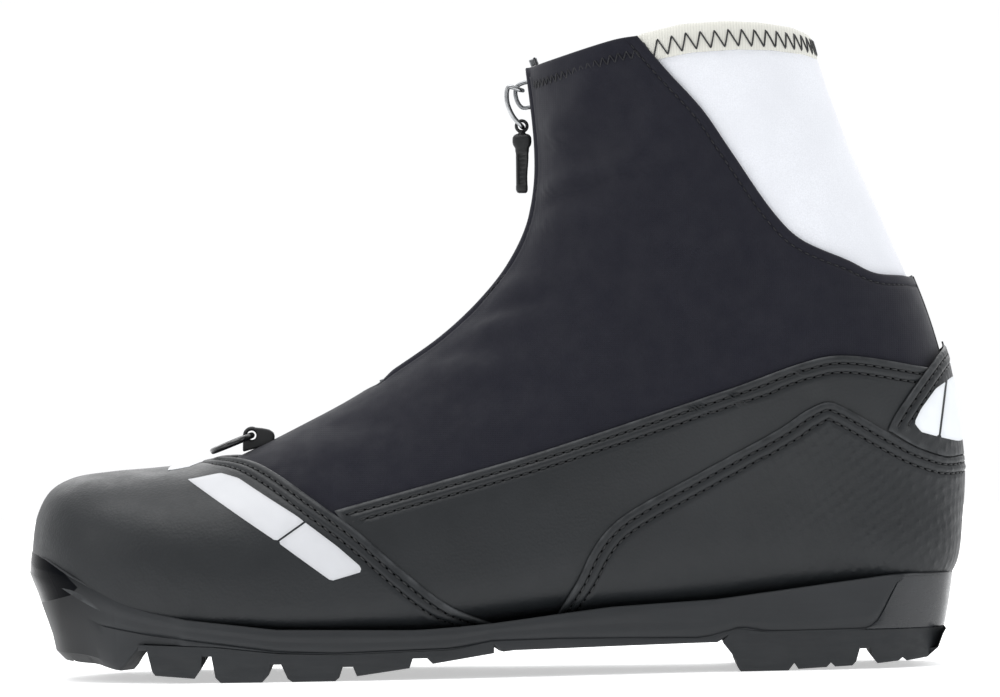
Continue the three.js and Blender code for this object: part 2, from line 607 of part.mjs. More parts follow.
// Lug above the grip, round the eye that the link passes through.
function tabLug() {
  const { x, top } = TAB;
  const { lug, half, over } = TAB_EYE;
  const [, pivot] = LINK_PATH[LINK_PATH.length - 1];
  const ear = [
    [x - half, top - 1], [x + half, top - 1], [x + half, pivot + 1.4], [x + 1, pivot + over],
    [x - 1, pivot + over], [x - half, pivot + 1.4],
  ];
  return sideBlock(ear, -lug, lug);
}

function tabEye() {
  const [, pivot] = LINK_PATH[LINK_PATH.length - 1];
  const hole = new THREE.CylinderGeometry(TAB_EYE.radius, TAB_EYE.radius, 12, 12);
  hole.translate(TAB.x, 0, pivot);
  return solidFrom(hole);
}

function buildRing() {
  const { pivot, tip, halfWidth, wire } = RING;
  const mid = [(pivot[0] + tip[0]) / 2, (pivot[1] + tip[1]) / 2];
  const reach = Math.hypot(tip[0] - pivot[0], tip[1] - pivot[1]) / 2;
  const way = [(tip[0] - pivot[0]) / (2 * reach), (tip[1] - pivot[1]) / (2 * reach)];
  const count = 12;
  const points = Array.from({ length: count }, (_, i) => {
    const a = (2 * Math.PI * i) / count;
    const along = reach * Math.cos(a);
    return new THREE.Vector3(mid[0] + way[0] * along, halfWidth * Math.sin(a), mid[1] + way[1] * along);
  });
  return solidFrom(tube(points, wire, 28, 6, true));
}

function buildRingHolder() {
  const [px, pz] = RING.pivot;
  const eye = new THREE.CylinderGeometry(HOLDER.eye, HOLDER.eye, 30, 12);
  eye.translate(px, 0, pz);
  return sideBlock(shifted(HOLDER_OUTLINE, px, pz), -HOLDER.width / 2, HOLDER.width / 2)
    .subtract(solidFrom(eye))
    .subtract(upper(COVER_LAYER[0] - GAP))
    .subtract(upper(OVERLAY_LAYER[0] - GAP).intersect(whole(toeRegion)));
}

// Point below the front ridge at section s.
function throatPoint(s, depth, y) {
  const front = frontCurve.getPoint(s);
  const way = frontCurve.getTangent(s);
  return new THREE.Vector3(front.x + way.y * depth, y, front.y - way.x * depth);
}

function strand(start) {
  const points = [];
  LACE_ROWS.forEach((s, row) => {
    const side = row % 2 === 0 ? start : -start;
    points.push(throatPoint(s - LACE.step, LACE.depth, side * LACE.reach));
    points.push(throatPoint(s + LACE.step, LACE.depth, side * LACE.reach));
    if (row < LACE_ROWS.length - 1) {
      points.push(throatPoint((s + LACE_ROWS[row + 1]) / 2, LACE.depth + start * LACE.weave, 0));
    }
  });
  return points;
}

function buildLace() {
  const points = [...strand(-1).reverse(), ...strand(1)];
  return solidFrom(tube(points, LACE.radius, 84, 5));
}

function buildLoop(row, side) {
  const s = LACE_ROWS[row];
  const centre = throatPoint(s, LACE.depth, side * LOOP.reach);
  const way = frontCurve.getTangent(s);
  const geometry = new THREE.TorusGeometry(LOOP.radius, LOOP.wire, 4, 10);
  geometry.rotateY(Math.PI / 2);
  geometry.rotateY(-Math.atan2(way.y, way.x));
  geometry.translate(centre.x, centre.y, centre.z);
  return solidFrom(geometry);
}

function trim(outline, side) {
  const region = side < 0 ? lateral(outline) : side > 0 ? medial(outline) : whole(outline);
  return layer(TRIM_LAYER).intersect(region);
}

// The part of a solid on one side of a dividing line in the side view, left of it when way is 1.
function divided(solid, [[x0, z0], [x1, z1]], way) {
  const length = Math.hypot(x1 - x0, z1 - z0);
  const [ux, uz] = [(x1 - x0) / length, (z1 - z0) / length];
  const [nx, nz] = [-uz * way, ux * way];
  const corner = (along, out) => [x0 + ux * along + nx * out, z0 + uz * along + nz * out];
  const side = [corner(-40, GAP), corner(40, GAP), corner(40, 60), corner(-40, 60)];
  return solid.intersect(whole(side));
}

const boot = new THREE.Group();
boot.name = 'cross_country_boot';

function put(name, solid, colour, roughness = 0.6, metalness = 0) {
  const material = new THREE.MeshStandardMaterial({ color: colour, roughness, metalness });
  const mesh = new THREE.Mesh(geometryFrom(solid), material);
  mesh.name = name;
  boot.add(mesh);
}

const core = lastingCore();
put('sole_chassis', buildChassis(), 0x2c2f32, 0.55);
put('forefoot_tread', buildTread(FOREFOOT_LUGS, SOLE_SPLIT), 0x232527, 0.8);
put('heel_tread', buildTread(HEEL_LUGS, HEEL_SPLIT), 0x232527, 0.8);
put('toe_bar', barSolid(BAR.radius, BAR.half), 0xb8bcc0, 0.25, 1);
put('lasting_board', buildLastingBoard(), 0x8a7a5c, 0.9);
put('footbed', buildFootbed(), 0x4a5560, 0.9);
put('toe_cap', buildToeCap(core), 0x2a2e30, 0.5);
put('quarter_lateral', buildQuarter(-1, core), 0x2f3336, 0.5);
put('quarter_medial', buildQuarter(1, core), 0x2f3336, 0.5);
put('heel_overlay', buildHeelOverlay(core), 0x26292c, 0.55);
put('heel_patch', buildHeelPatch(), 0x2b2e33, 0.5);
put('cover_lateral', buildCover(-1), 0x23252e, 0.9);
put('cover_medial', buildCover(1), 0x23252e, 0.9);
put('cuff', buildCuff(), 0xe9eaee, 0.85);
put('collar_binding', buildBinding(), 0xf1f0e8, 0.85);
put('liner', buildLiner(), 0x3c4046, 0.95);
put('tongue', buildTongue(), 0x33363c, 0.9);
put('toe_puff', buildToePuff(), 0x9a958a, 0.7);
put('heel_counter', buildHeelCounter(), 0x9a958a, 0.7);
put('eyestay_lateral', buildEyestay(-1), 0x26282c, 0.7);
put('eyestay_medial', buildEyestay(1), 0x26282c, 0.7);
put('lace', buildLace(), 0x17181a, 0.9);
LACE_ROWS.forEach((_, row) => {
  put(`lace_loop_lateral_${row + 1}`, buildLoop(row, -1), 0x1d1e21, 0.8);
  put(`lace_loop_medial_${row + 1}`, buildLoop(row, 1), 0x1d1e21, 0.8);
});
put('zip_tape_lateral', buildTape(-1), 0x1a1b1f, 0.9);
put('zip_tape_medial', buildTape(1), 0x1a1b1f, 0.9);
put('zip_coil_lateral', buildCoil(-1), 0x141517, 0.5);
put('zip_coil_medial', buildCoil(1), 0x141517, 0.5);
put('zip_top_stop_lateral', buildTopStop(-1), 0x55585c, 0.35, 1);
put('zip_top_stop_medial', buildTopStop(1), 0x55585c, 0.35, 1);
put('zip_bottom_stop', buildBottomStop(), 0x55585c, 0.35, 1);
put('zip_slider', buildSlider(), 0x4a4d52, 0.3, 1);
put('zip_link', buildLink(), 0x8a8e93, 0.25, 1);
put('pull_tab', buildTab(), 0x17181a, 0.45);
put('gaiter_ring', buildRing(), 0x131416, 0.35);
put('ring_holder', buildRingHolder(), 0x1c1d20, 0.5);
for (const [name, side] of [['lateral', -1], ['medial', 1]]) {
  const stripe = trim(TOE_STRIPE, side);
  put(`toe_stripe_${name}_front`, divided(stripe, STRIPE_SPLIT, -1), 0xe6e8ec, 0.4);
  put(`toe_stripe_${name}_rear`, divided(stripe, STRIPE_SPLIT, 1), 0xe6e8ec, 0.4);
}
put('toe_mark', trim(TOE_MARK, 0), 0xe6e8ec, 0.4);
for (const [name, side] of [['lateral', -1], ['medial', 1]]) {
  put(`reflector_${name}_front`, divided(trim(REFLECTOR, side), REFLECTOR_SPLIT, -1), 0xd8dbe0, 0.3);
}
put('reflector_rear', divided(trim(REFLECTOR, 0), REFLECTOR_SPLIT, 1), 0xd8dbe0, 0.3);

export default boot;
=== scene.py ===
import math

import bmesh
import bpy
import numpy as np
from mathutils import Matrix, Vector, geometry, kdtree


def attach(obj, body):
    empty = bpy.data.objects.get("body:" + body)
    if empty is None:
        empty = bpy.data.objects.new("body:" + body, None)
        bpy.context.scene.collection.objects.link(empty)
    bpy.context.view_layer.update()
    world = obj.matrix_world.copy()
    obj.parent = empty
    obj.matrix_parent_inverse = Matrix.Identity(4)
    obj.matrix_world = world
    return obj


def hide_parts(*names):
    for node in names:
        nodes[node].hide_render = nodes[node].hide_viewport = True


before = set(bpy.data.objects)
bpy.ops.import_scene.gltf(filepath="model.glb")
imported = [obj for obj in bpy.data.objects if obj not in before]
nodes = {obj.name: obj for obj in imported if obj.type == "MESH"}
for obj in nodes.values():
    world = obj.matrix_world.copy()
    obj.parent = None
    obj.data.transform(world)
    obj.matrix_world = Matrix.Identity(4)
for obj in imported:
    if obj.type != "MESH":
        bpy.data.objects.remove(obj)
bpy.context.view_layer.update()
MM = 0.001
LATERAL, MEDIAL = -1, 1
SIDES = ((LATERAL, "lateral"), (MEDIAL, "medial"))

# ---------------------------------------------------------------- surface of the upper, as in the CAD part
SECTIONS = np.array([
    [-145.7, 34, -117, 19.0, 40.5, 0.88, 2.1, 6.0],
    [-145.7, 43, -109, 17.8, 43.0, 0.85, 2.2, 5.5],
    [-144.3, 52.3, -101, 17.0, 45.0, 0.82, 2.3, 5.0],
    [-140.7, 58.8, -93, 16.3, 46.8, 0.80, 2.35, 4.6],
    [-134.0, 62.5, -85, 15.6, 48.2, 0.78, 2.35, 4.4],
    [-121.9, 64.3, -75, 14.9, 49.2, 0.75, 2.35, 4.2],
    [-106.9, 65.4, -65, 14.1, 49.8, 0.73, 2.3, 4.2],
    [-92.0, 67.2, -53, 13.6, 50.0, 0.71, 2.25, 4.2],
    [-76.6, 73.4, -39, 13.3, 49.6, 0.69, 2.2, 4.2],
    [-62.4, 80.2, -25, 13.3, 48.6, 0.68, 2.15, 4.2],
    [-46.4, 88.4, -9, 14.1, 46.8, 0.67, 2.1, 4.2],
    [-30.5, 98.2, 11, 16.1, 44.6, 0.66, 2.1, 4.2],
    [-16.1, 108.3, 35, 18.7, 42.6, 0.64, 2.1, 4.2],
    [-6.4, 117.0, 61, 19.7, 41.4, 0.61, 2.15, 4.2],
    [0.6, 124.6, 91, 21.9, 40.8, 0.58, 2.2, 4.2],
    [5.4, 131.7, 118, 23.7, 40.6, 0.56, 2.2, 4.0],
    [8.7, 137.9, 136, 24.9, 40.6, 0.54, 2.2, 3.6],
    [10.7, 142.9, 144.0, 31, 40.6, 0.52, 2.2, 3.0],
    [11.8, 147.2, 147.0, 48, 40.6, 0.50, 2.2, 2.5],
    [12.7, 151.7, 147.9, 62, 40.8, 0.50, 2.2, 2.4],
    [13.3, 157.0, 146.4, 79, 41.2, 0.50, 2.2, 2.3],
    [13.5, 164.0, 143.4, 97, 41.8, 0.50, 2.2, 2.25],
    [13.2, 172.0, 137.8, 116, 42.4, 0.50, 2.2, 2.2],
    [12.3, 182.0, 128.6, 138, 43.2, 0.50, 2.2, 2.2],
    [11.1, 193.0, 117.4, 163, 44.2, 0.50, 2.2, 2.2],
    [10.0, 203.0, 109.0, 187, 45.0, 0.50, 2.2, 2.2],
    [8.7, 214.0, 101.0, 216, 45.8, 0.50, 2.2, 2.2],
])
HEEL_PINCH = 0.13
TOE_SWING = 5
WAIST_SWING = -2.5

TOE_SEAM = [
    (-86.1, 69.0), (-80.5, 69.0), (-75.6, 68.0), (-68.8, 64.7), (-56.2, 56.1), (-43.6, 46.9), (-30.2, 35.1),
    (-14.8, 23.0), (-1.3, 16.9)]
QUARTER_TOP = [
    (-50.8, 53.4), (-23.3, 60.5), (13.4, 70.3), (50.1, 81.5), (74.6, 89.2), (97.0, 96.8), (106.0, 98.8),
    (115.0, 98.6), (136.2, 94.7)]
OVERLAY_TOP = [
    (18.5, 19.4), (25.3, 30.3), (29.9, 39.2), (34.5, 45.3), (40.8, 50.5), (65.2, 63.5), (90.4, 76.8),
    (98.5, 82.0),
    (104.8, 84.3), (109.5, 82.6), (123.3, 74.4), (131.3, 69.8), (137.0, 67.4), (142.3, 65.9), (149.7, 66.5)]
PATCH_FRONT = [(142.5, 100.1), (137.8, 95.1), (130.4, 85.8), (125.0, 78.0), (123.6, 74.9)]
COVER_EDGE = [
    (46.5, 200.6), (55.3, 190.3), (67.3, 177.1), (75.5, 165.0), (89.8, 144.1), (97.6, 136.4), (113.8, 129.1),
    (122.0, 125.2), (132.6, 124.2)]
COVER_HEM = [(-2, 186.5), (12.1, 191.4), (18.2, 193.4), (39.6, 199.6), (46.5, 200.6)]
COLLAR_TOP = [(12, 189), (47.9, 201.3), (61.3, 204.2), (75.6, 205.0), (86.7, 204.5), (96.3, 203.1),
              (104, 200)]
FEATHER = [
    (-148.5, 41.0), (-143.1, 38.9), (-137.9, 35.7), (-129.1, 30.4), (-118.1, 24.8), (-109.6, 22.2),
    (-98.6, 19.8),
    (-85.9, 18.3), (-69.7, 16.3), (-24.8, 15.4), (-12.3, 16.1), (-1.3, 17.0), (17.8, 19.2), (35.3, 21.2),
    (68.8, 22.8), (104.6, 27.1), (122.5, 29.2), (130.5, 29.7), (149.0, 29.5)]


def smooth(v):
    v = np.clip(v, 0, 1)
    return v * v * (3 - 2 * v)


class Catmull:
    """Centripetal Catmull-Rom curve through points, evaluated at t from 0 to 1."""

    def __init__(self, points):
        p = np.asarray(points, float)
        self.p = np.vstack([2 * p[0] - p[1], p, 2 * p[-1] - p[-2]])
        self.n = len(p)

    def __call__(self, t):
        t = np.clip(np.atleast_1d(np.asarray(t, float)), 0, 1) * (self.n - 1)
        i = np.minimum(np.floor(t).astype(int), self.n - 2)
        w = (t - i)[:, None]
        p0, p1, p2, p3 = (self.p[i + k] for k in range(4))
        gap = [np.sqrt(np.linalg.norm(b - a, axis=1))[:, None] for a, b in ((p0, p1), (p1, p2), (p2, p3))]
        d1 = np.where(gap[1] < 1e-4, 1.0, gap[1])
        d0 = np.where(gap[0] < 1e-4, d1, gap[0])
        d2 = np.where(gap[2] < 1e-4, d1, gap[2])
        m1 = ((p1 - p0) / d0 - (p2 - p0) / (d0 + d1) + (p2 - p1) / d1) * d1
        m2 = ((p2 - p1) / d1 - (p3 - p1) / (d1 + d2) + (p3 - p2) / d2) * d1
        c2 = -3 * p1 + 3 * p2 - 2 * m1 - m2
        c3 = 2 * p1 - 2 * p2 + m1 + m2
        return p1 + w * (m1 + w * (c2 + w * c3))

    def way(self, t):
        t = np.atleast_1d(np.asarray(t, float))
        d = self(np.minimum(t + 1e-4, 1)) - self(np.maximum(t - 1e-4, 0))
        return d / np.linalg.norm(d, axis=1)[:, None]


front_curve = Catmull(SECTIONS[:, 0:2])
base_curve = Catmull(SECTIONS[:, 2:4])
width_curve = Catmull(SECTIONS[:, 4:6])
square_curve = Catmull(SECTIONS[:, 6:8])


def sideways(x, z, y):
    pinch = 1 - HEEL_PINCH * smooth((x - 10) / 60) * smooth((100 - z) / 55)
    toe = TOE_SWING * smooth((-60 - x) / 80)
    waist = WAIST_SWING * smooth((x + 60) / 60) * smooth((110 - x) / 70)
    return y * pinch + np.where(x < -60, toe, waist) * smooth((118 - z) / 60)


def section(s, depth):
    front, base = front_curve(s), base_curve(s)
    fw, bw = front_curve.way(s), base_curve.way(s)
    depth = np.broadcast_to(np.asarray(depth, float), s.shape)[:, None]
    front = front + np.c_[fw[:, 1], -fw[:, 0]] * depth
    base = base + np.c_[-bw[:, 1], bw[:, 0]] * depth
    lift = depth * (1 - smooth(s / 0.12))[:, None]
    way = base - front
    way /= np.linalg.norm(way, axis=1)[:, None]
    rise = np.c_[-way[:, 1], way[:, 0]] * lift
    width, square = width_curve(s), square_curve(s)
    return front + rise, base + rise, width[:, 0] - depth[:, 0], width[:, 1], square[:, 0], square[:, 1]


def upper(s, a, depth=0.0):
    """Points of the upper in mm. a is 0 on the ridge, half a turn on the base line, positive on the medial side."""
    s, a = np.broadcast_arrays(np.atleast_1d(np.asarray(s, float)), np.atleast_1d(np.asarray(a, float)))
    front, base, half, widest, nf, nb = section(s, depth)
    c, q = np.cos(a), np.sin(a)
    n = np.where(c > 0, nf, nb)
    along = np.sign(c) * np.abs(c) ** (2 / n)
    across = np.sign(q) * np.abs(q) ** (2 / n)
    t = np.where(c > 0, widest * (1 - along), widest - (1 - widest) * along)
    p = front + (base - front) * t[:, None]
    return np.c_[p[:, 0], sideways(p[:, 0], p[:, 1], across * half), p[:, 1]]


def chart_of(x, z, side):
    """Section and angle of the points that the side view shows at x, z."""
    x, z = np.atleast_1d(np.asarray(x, float)), np.atleast_1d(np.asarray(z, float))
    low, high = np.zeros_like(x), np.ones_like(x)
    for _ in range(40):
        mid = (low + high) / 2
        f, b = section(mid, 0.0)[:2]
        ahead = (b[:, 0] - f[:, 0]) * (z - f[:, 1]) - (b[:, 1] - f[:, 1]) * (x - f[:, 0]) > 0
        low, high = np.where(ahead, mid, low), np.where(ahead, high, mid)
    f, b, _, widest, nf, nb = section(low, 0.0)
    chord = b - f
    t = np.clip(((x - f[:, 0]) * chord[:, 0] + (z - f[:, 1]) * chord[:, 1]) / (chord ** 2).sum(1), 0, 1)
    near = t < widest
    c = np.where(near, 1 - t / widest, (t - widest) / (1 - widest))
    half_angle = np.arccos(np.clip(c, 0, 1) ** (np.where(near, nf, nb) / 2))
    return low, side * np.where(near, half_angle, math.pi - half_angle)


# Arc length round each section: a chart point is (s, v), v in mm from the ridge, negative on the lateral side.
TABLE_S = np.linspace(0, 1, 241)
_near_widest = np.arcsin(np.linspace(0, 0.62, 34)[1:] ** 2.1)
TABLE_A = np.unique(np.r_[math.pi * (1 - np.cos(np.linspace(0, math.pi, 181))) / 2,
                          math.pi / 2 + _near_widest,
                          math.pi / 2 - _near_widest])


def _arc_table(side):
    rows = []
    for s in TABLE_S:
        p = upper(np.full_like(TABLE_A, s), side * TABLE_A)
        rows.append(np.r_[0, np.cumsum(np.linalg.norm(np.diff(p, axis=0), axis=1))])
    return np.array(rows)


ARCS = {LATERAL: _arc_table(LATERAL), MEDIAL: _arc_table(MEDIAL)}
U_SCALE = 400.0


def _mix_row(table, s):
    i = np.clip(s, 0, 1) * (len(TABLE_S) - 1)
    k = np.minimum(i.astype(int), len(TABLE_S) - 2)
    w = (i - k)[:, None]
    return table[k] * (1 - w) + table[k + 1] * w


def _by_side(s, values, look_up):
    out = np.zeros(len(s))
    for side in (LATERAL, MEDIAL):
        pick = (values * side) >= 0
        if pick.any():
            rows = _mix_row(ARCS[side], s[pick])
            out[pick] = side * np.array([look_up(abs(q), r) for q, r in zip(values[pick], rows)])
    return out


def v_of(s, a):
    return _by_side(s, a, lambda angle, row: np.interp(angle, TABLE_A, row))


def a_of(s, v):
    return _by_side(s, v, lambda arc, row: np.interp(arc, row, TABLE_A))


def girth(s, side):
    return _mix_row(ARCS[side], np.atleast_1d(s))[:, -1]


def at_chart(uv, depth=0.0, rear=False):
    """Points at chart coordinates. With rear, v runs from the back line instead of the ridge."""
    s = np.clip(uv[:, 0] / U_SCALE, 0, 1)
    v = uv[:, 1]
    if rear:
        whole = np.where(v < 0, girth(s, LATERAL), girth(s, MEDIAL))
        v = np.where(v < 0, -(whole - np.minimum(-v, whole)), whole - np.minimum(v, whole))
        v = np.where(uv[:, 1] == 0, whole, v)
    return upper(s, a_of(s, v), depth)


def run_of(points):
    """Length from the start of a line to each of its points."""
    return np.r_[0, np.cumsum(np.linalg.norm(np.diff(points, axis=0), axis=1))]


def along(points, d, q):
    """Values of a line at lengths q, where d are the lengths of its points."""
    return np.stack([np.interp(q, d, points[:, k]) for k in range(points.shape[1])], axis=-1)


def even(d, step):
    return np.linspace(0, d[-1], max(2, int(round(d[-1] / step)) + 1))


def resample(points, step):
    p = np.asarray(points, float)
    d = run_of(p)
    return along(p, d, even(d, step))


def curve_line(points, step=1.2):
    """Smooth line through side-view points, evenly spaced."""
    c = Catmull(points)
    return resample(c(np.linspace(0, 1, 30 * len(points))), step)


def to_chart(line, side, rear=False):
    s, a = chart_of(line[:, 0], line[:, 1], side)
    v = v_of(s, a)
    if rear:
        whole = girth(s, side)
        v = side * (whole - np.abs(v))
    return np.c_[s * U_SCALE, v]


def frame_at(uv, rear, e=0.35):
    """Chart directions and the outward normal at chart points."""
    du = (at_chart(uv + [e, 0], 0.0, rear) - at_chart(uv - [e, 0], 0.0, rear)) / (2 * e)
    dv = (at_chart(uv + [0, e], 0.0, rear) - at_chart(uv - [0, e], 0.0, rear)) / (2 * e)
    n = np.cross(du, dv) * (-1 if rear else 1)
    return du, dv, n / np.maximum(np.linalg.norm(n, axis=1), 1e-9)[:, None]


def steady(shift, window=7, blur=5):
    """Evens out a displacement along a line."""
    if len(shift) < window + blur:
        return shift
    for size, centre in ((window, np.median), (blur, np.mean)):
        padded = np.pad(shift, ((size // 2, size // 2), (0, 0)), "edge")
        shift = centre(np.lib.stride_tricks.sliding_window_view(padded, size, axis=0), axis=-1)
    return shift


def inset(line, distance, left, rear):
    """A chart line moved over the surface by a distance in mm, to its left when left is 1."""
    q = np.array(line, float)
    steps = max(1, math.ceil(abs(distance) / 1.5))
    for _ in range(steps):
        way = np.gradient(q, axis=0)
        du, dv, n = frame_at(q, rear, 0.7)
        t = du * way[:, :1] + dv * way[:, 1:]
        t /= np.maximum(np.linalg.norm(t, axis=1), 1e-9)[:, None]
        d = np.cross(n * (-1 if rear else 1), t) * left * distance / steps
        uu, uv, vv = (du * du).sum(1), (du * dv).sum(1), (dv * dv).sum(1)
        bu, bv = (du * d).sum(1), (dv * d).sum(1)
        det = np.maximum(uu * vv - uv * uv, 1e-6)
        q += np.c_[(vv * bu - uv * bv) / det, (uu * bv - uv * bu) / det]
    return line + steady(q - line)


def spaced(uv, step, rear):
    """Chart line with points a step apart on the surface."""
    d = run_of(at_chart(uv, 0.0, rear))
    return along(uv, d, even(d, step))


# Profile of each kind of panel edge: distance from the edge and how far the surface is sunk there, in mm.
EDGES = {
    "hidden": [],
    "cut": [(0.35, 0.12), (1.0, 0.0)],
    "double": [(0.35, 0.14), (0.9, -0.05), (1.7, -0.08), (2.5, 0.55), (3.3, -0.12), (4.0, -0.28),
               (4.6, -0.12), (5.4, 0.55),
               (6.2, 0.0), (7.3, 0.0)],
    "single": [(0.4, 0.14), (1.1, -0.05), (2.2, -0.08), (2.8, -0.04), (3.4, 0.42), (4.0, 0.0), (5.0, 0.0)],
    "hem": [(0.4, 0.14), (1.2, 0.0), (3.2, -0.1), (4.4, 0.16), (5.8, 0.4), (7.2, 0.16), (8.4, -0.05),
            (9.8, 0.0)],
    "flap": [(0.4, 0.16), (1.1, -0.05), (2.0, 0.0), (2.6, 0.4), (3.2, 0.0), (4.2, 0.0)],
}


def add(name, verts, faces, materials, replaces=(), body="boot", slot=None, sharp=50, index=None, wear=None):
    """A new piece from vertices in mm."""
    mesh = bpy.data.meshes.new(name)
    mesh.from_pydata((np.asarray(verts, float) * MM).tolist(), [], [[int(i) for i in f] for f in faces])
    obj = bpy.data.objects.new(name, mesh)
    bpy.context.scene.collection.objects.link(obj)
    for m in materials if isinstance(materials, (list, tuple)) else [materials]:
        mesh.materials.append(m)
    if index is not None:
        mesh.polygons.foreach_set("material_index", np.asarray(index, np.int32))
    if wear is not None:
        layer = mesh.attributes.new("wear", "FLOAT", "POINT")
        layer.data.foreach_set("value", np.asarray(wear, np.float32))
    finish_mesh(obj, sharp)
    place(obj, replaces, body)
    return obj


def finish_mesh(obj, sharp=50):
    mesh = obj.data
    mesh.validate()
    mesh.polygons.foreach_set("use_smooth", np.ones(len(mesh.polygons), bool))
    mesh.set_sharp_from_angle(angle=math.radians(sharp))
    mesh.update()


def place(obj, replaces=(), body="boot"):
    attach(obj, body)
    if replaces:
        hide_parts(*([replaces] if isinstance(replaces, str) else replaces))


def panel(name, parts, layer, materials, replaces, slot, rear=False, grid=(1.8, 2.1), relief=None,
          inner=False):
    """A cut panel of the upper. parts are its edges in order, as (chart line, kind)."""
    whole = np.vstack([line for line, _ in parts])
    turn = np.roll(whole, -1, axis=0)
    if (whole[:, 0] * turn[:, 1] - turn[:, 0] * whole[:, 1]).sum() < 0:
        parts = [(line[::-1], kind) for line, kind in parts[::-1]]
    top, under = layer
    loop, loop_sink, walls, extra, extra_sink = [], [], [], [], []
    for line, kind in parts:
        line = spaced(np.asarray(line, float), 1.25, rear)
        loop.append(line[:-1])
        loop_sink += [0.45 * (under - top) if kind != "hidden" else 0.0] * (len(line) - 1)
        walls += [inner or kind != "hidden"] * (len(line) - 1)
        for distance, sink in EDGES[kind]:
            ring = inset(line, distance, 1, rear)
            extra.append((ring, distance, sink))
    loop = np.vstack(loop)
    edge = at_chart(loop, 0.0, rear)
    near = kdtree.KDTree(len(edge))
    for i, p in enumerate(edge):
        near.insert(p, i)
    near.balance()
    points, sinks, tags = [loop], [np.array(loop_sink)], [np.ones(len(loop))]
    reach = np.zeros(len(loop))
    at = 0
    for line, kind in parts:
        n = len(spaced(np.asarray(line, float), 1.25, rear)) - 1
        reach[at:at + n] = (EDGES[kind][-1][0] if EDGES[kind] else 0) + 0.9
        at += n
    held, total = [], len(loop)
    for ring, distance, sink in extra:
        p = at_chart(ring, 0.0, rear)
        gap = np.array([near.find(q)[2] for q in p])
        keep = gap > 0.86 * distance
        number = total + np.cumsum(keep) - 1
        sound = keep & (gap > 0.965 * distance)
        held += [(int(number[i]), int(number[i + 1])) for i in np.flatnonzero(sound[:-1] & sound[1:])]
        total += int(keep.sum())
        points.append(ring[keep])
        sinks.append(np.full(keep.sum(), sink))
        tags.append(np.full(keep.sum(), max(0.0, 1 - distance / 1.3)))
    low, high = loop.min(0), loop.max(0)
    us = np.arange(low[0], high[0], grid[0])
    rows = [np.c_[np.full_like(vs, u), vs] for k, u in enumerate(us)
            for vs in [np.arange(low[1], high[1], grid[1]) + (k % 2) * grid[1] / 2]]
    field = np.vstack(rows)
    p = at_chart(field, 0.0, rear)
    keep = []
    for q in p:
        _, i, d = near.find(q)
        keep.append(d > reach[i] if reach[i] > 1 else d > 0.9)
    field = field[np.array(keep)]
    points.append(field)
    sinks.append(np.zeros(len(field)))
    tags.append(np.zeros(len(field)))
    uv, sink, tag = np.vstack(points), np.concatenate(sinks), np.concatenate(tags)
    n = len(loop)
    out = geometry.delaunay_2d_cdt([Vector(q) for q in uv], [(i, (i + 1) % n) for i in range(n)] + held, [],
                                   1, 1e-4)
    coords, _, faces, source = out[0], out[1], out[2], out[3]
    used = sorted({i for f in faces for i in f})
    renumber = {old: new for new, old in enumerate(used)}
    faces = [[renumber[i] for i in f] for f in faces]
    uv_out = np.array([coords[i] for i in used])
    sink_out = np.array([sink[source[i][0]] if source[i] else 0.0 for i in used])
    tag_out = np.array([tag[source[i][0]] if source[i] else 0.0 for i in used])
    where = {source[i][0]: renumber[i] for i in used if source[i]}
    for i in used:
        for s in source[i]:
            where[s] = renumber[i]
    verts = at_chart(uv_out, top + sink_out, rear)
    if relief is not None:
        _, _, normal = frame_at(uv_out, rear)
        verts = verts + normal * relief(verts, uv_out)[:, None]
    back = at_chart(uv_out, np.full(len(uv_out), under), rear)
    if relief is not None:
        back = back + normal * relief(verts, uv_out)[:, None]
    if rear:
        faces = [f[::-1] for f in faces]
    index = [0] * len(faces)
    all_verts = [verts]
    count = len(verts)
    if inner:
        all_verts.append(back)
        faces = faces + [[i + count for i in f[::-1]] for f in faces]
        index += [1] * len(index)
    sub = [-1] * n
    extra_rows = []
    for i in range(n):
        j = (i + 1) % n
        if not (walls[i] and i in where and j in where):
            continue
        for k in (i, j):
            if sub[k] < 0:
                if inner:
                    sub[k] = where[k] + count
                else:
                    sub[k] = count + len(extra_rows)
                    extra_rows.append(back[where[k]])
        quad = [where[i], sub[i], sub[j], where[j]]
        faces.append(quad[::-1] if rear else quad)
        index.append(0)
    if extra_rows:
        all_verts.append(np.array(extra_rows))
    wear = np.concatenate([tag_out] + [np.zeros(len(v)) for v in all_verts[1:]])
    return add(name, np.vstack(all_verts), faces, materials, replaces, slot=slot, index=index, wear=wear)


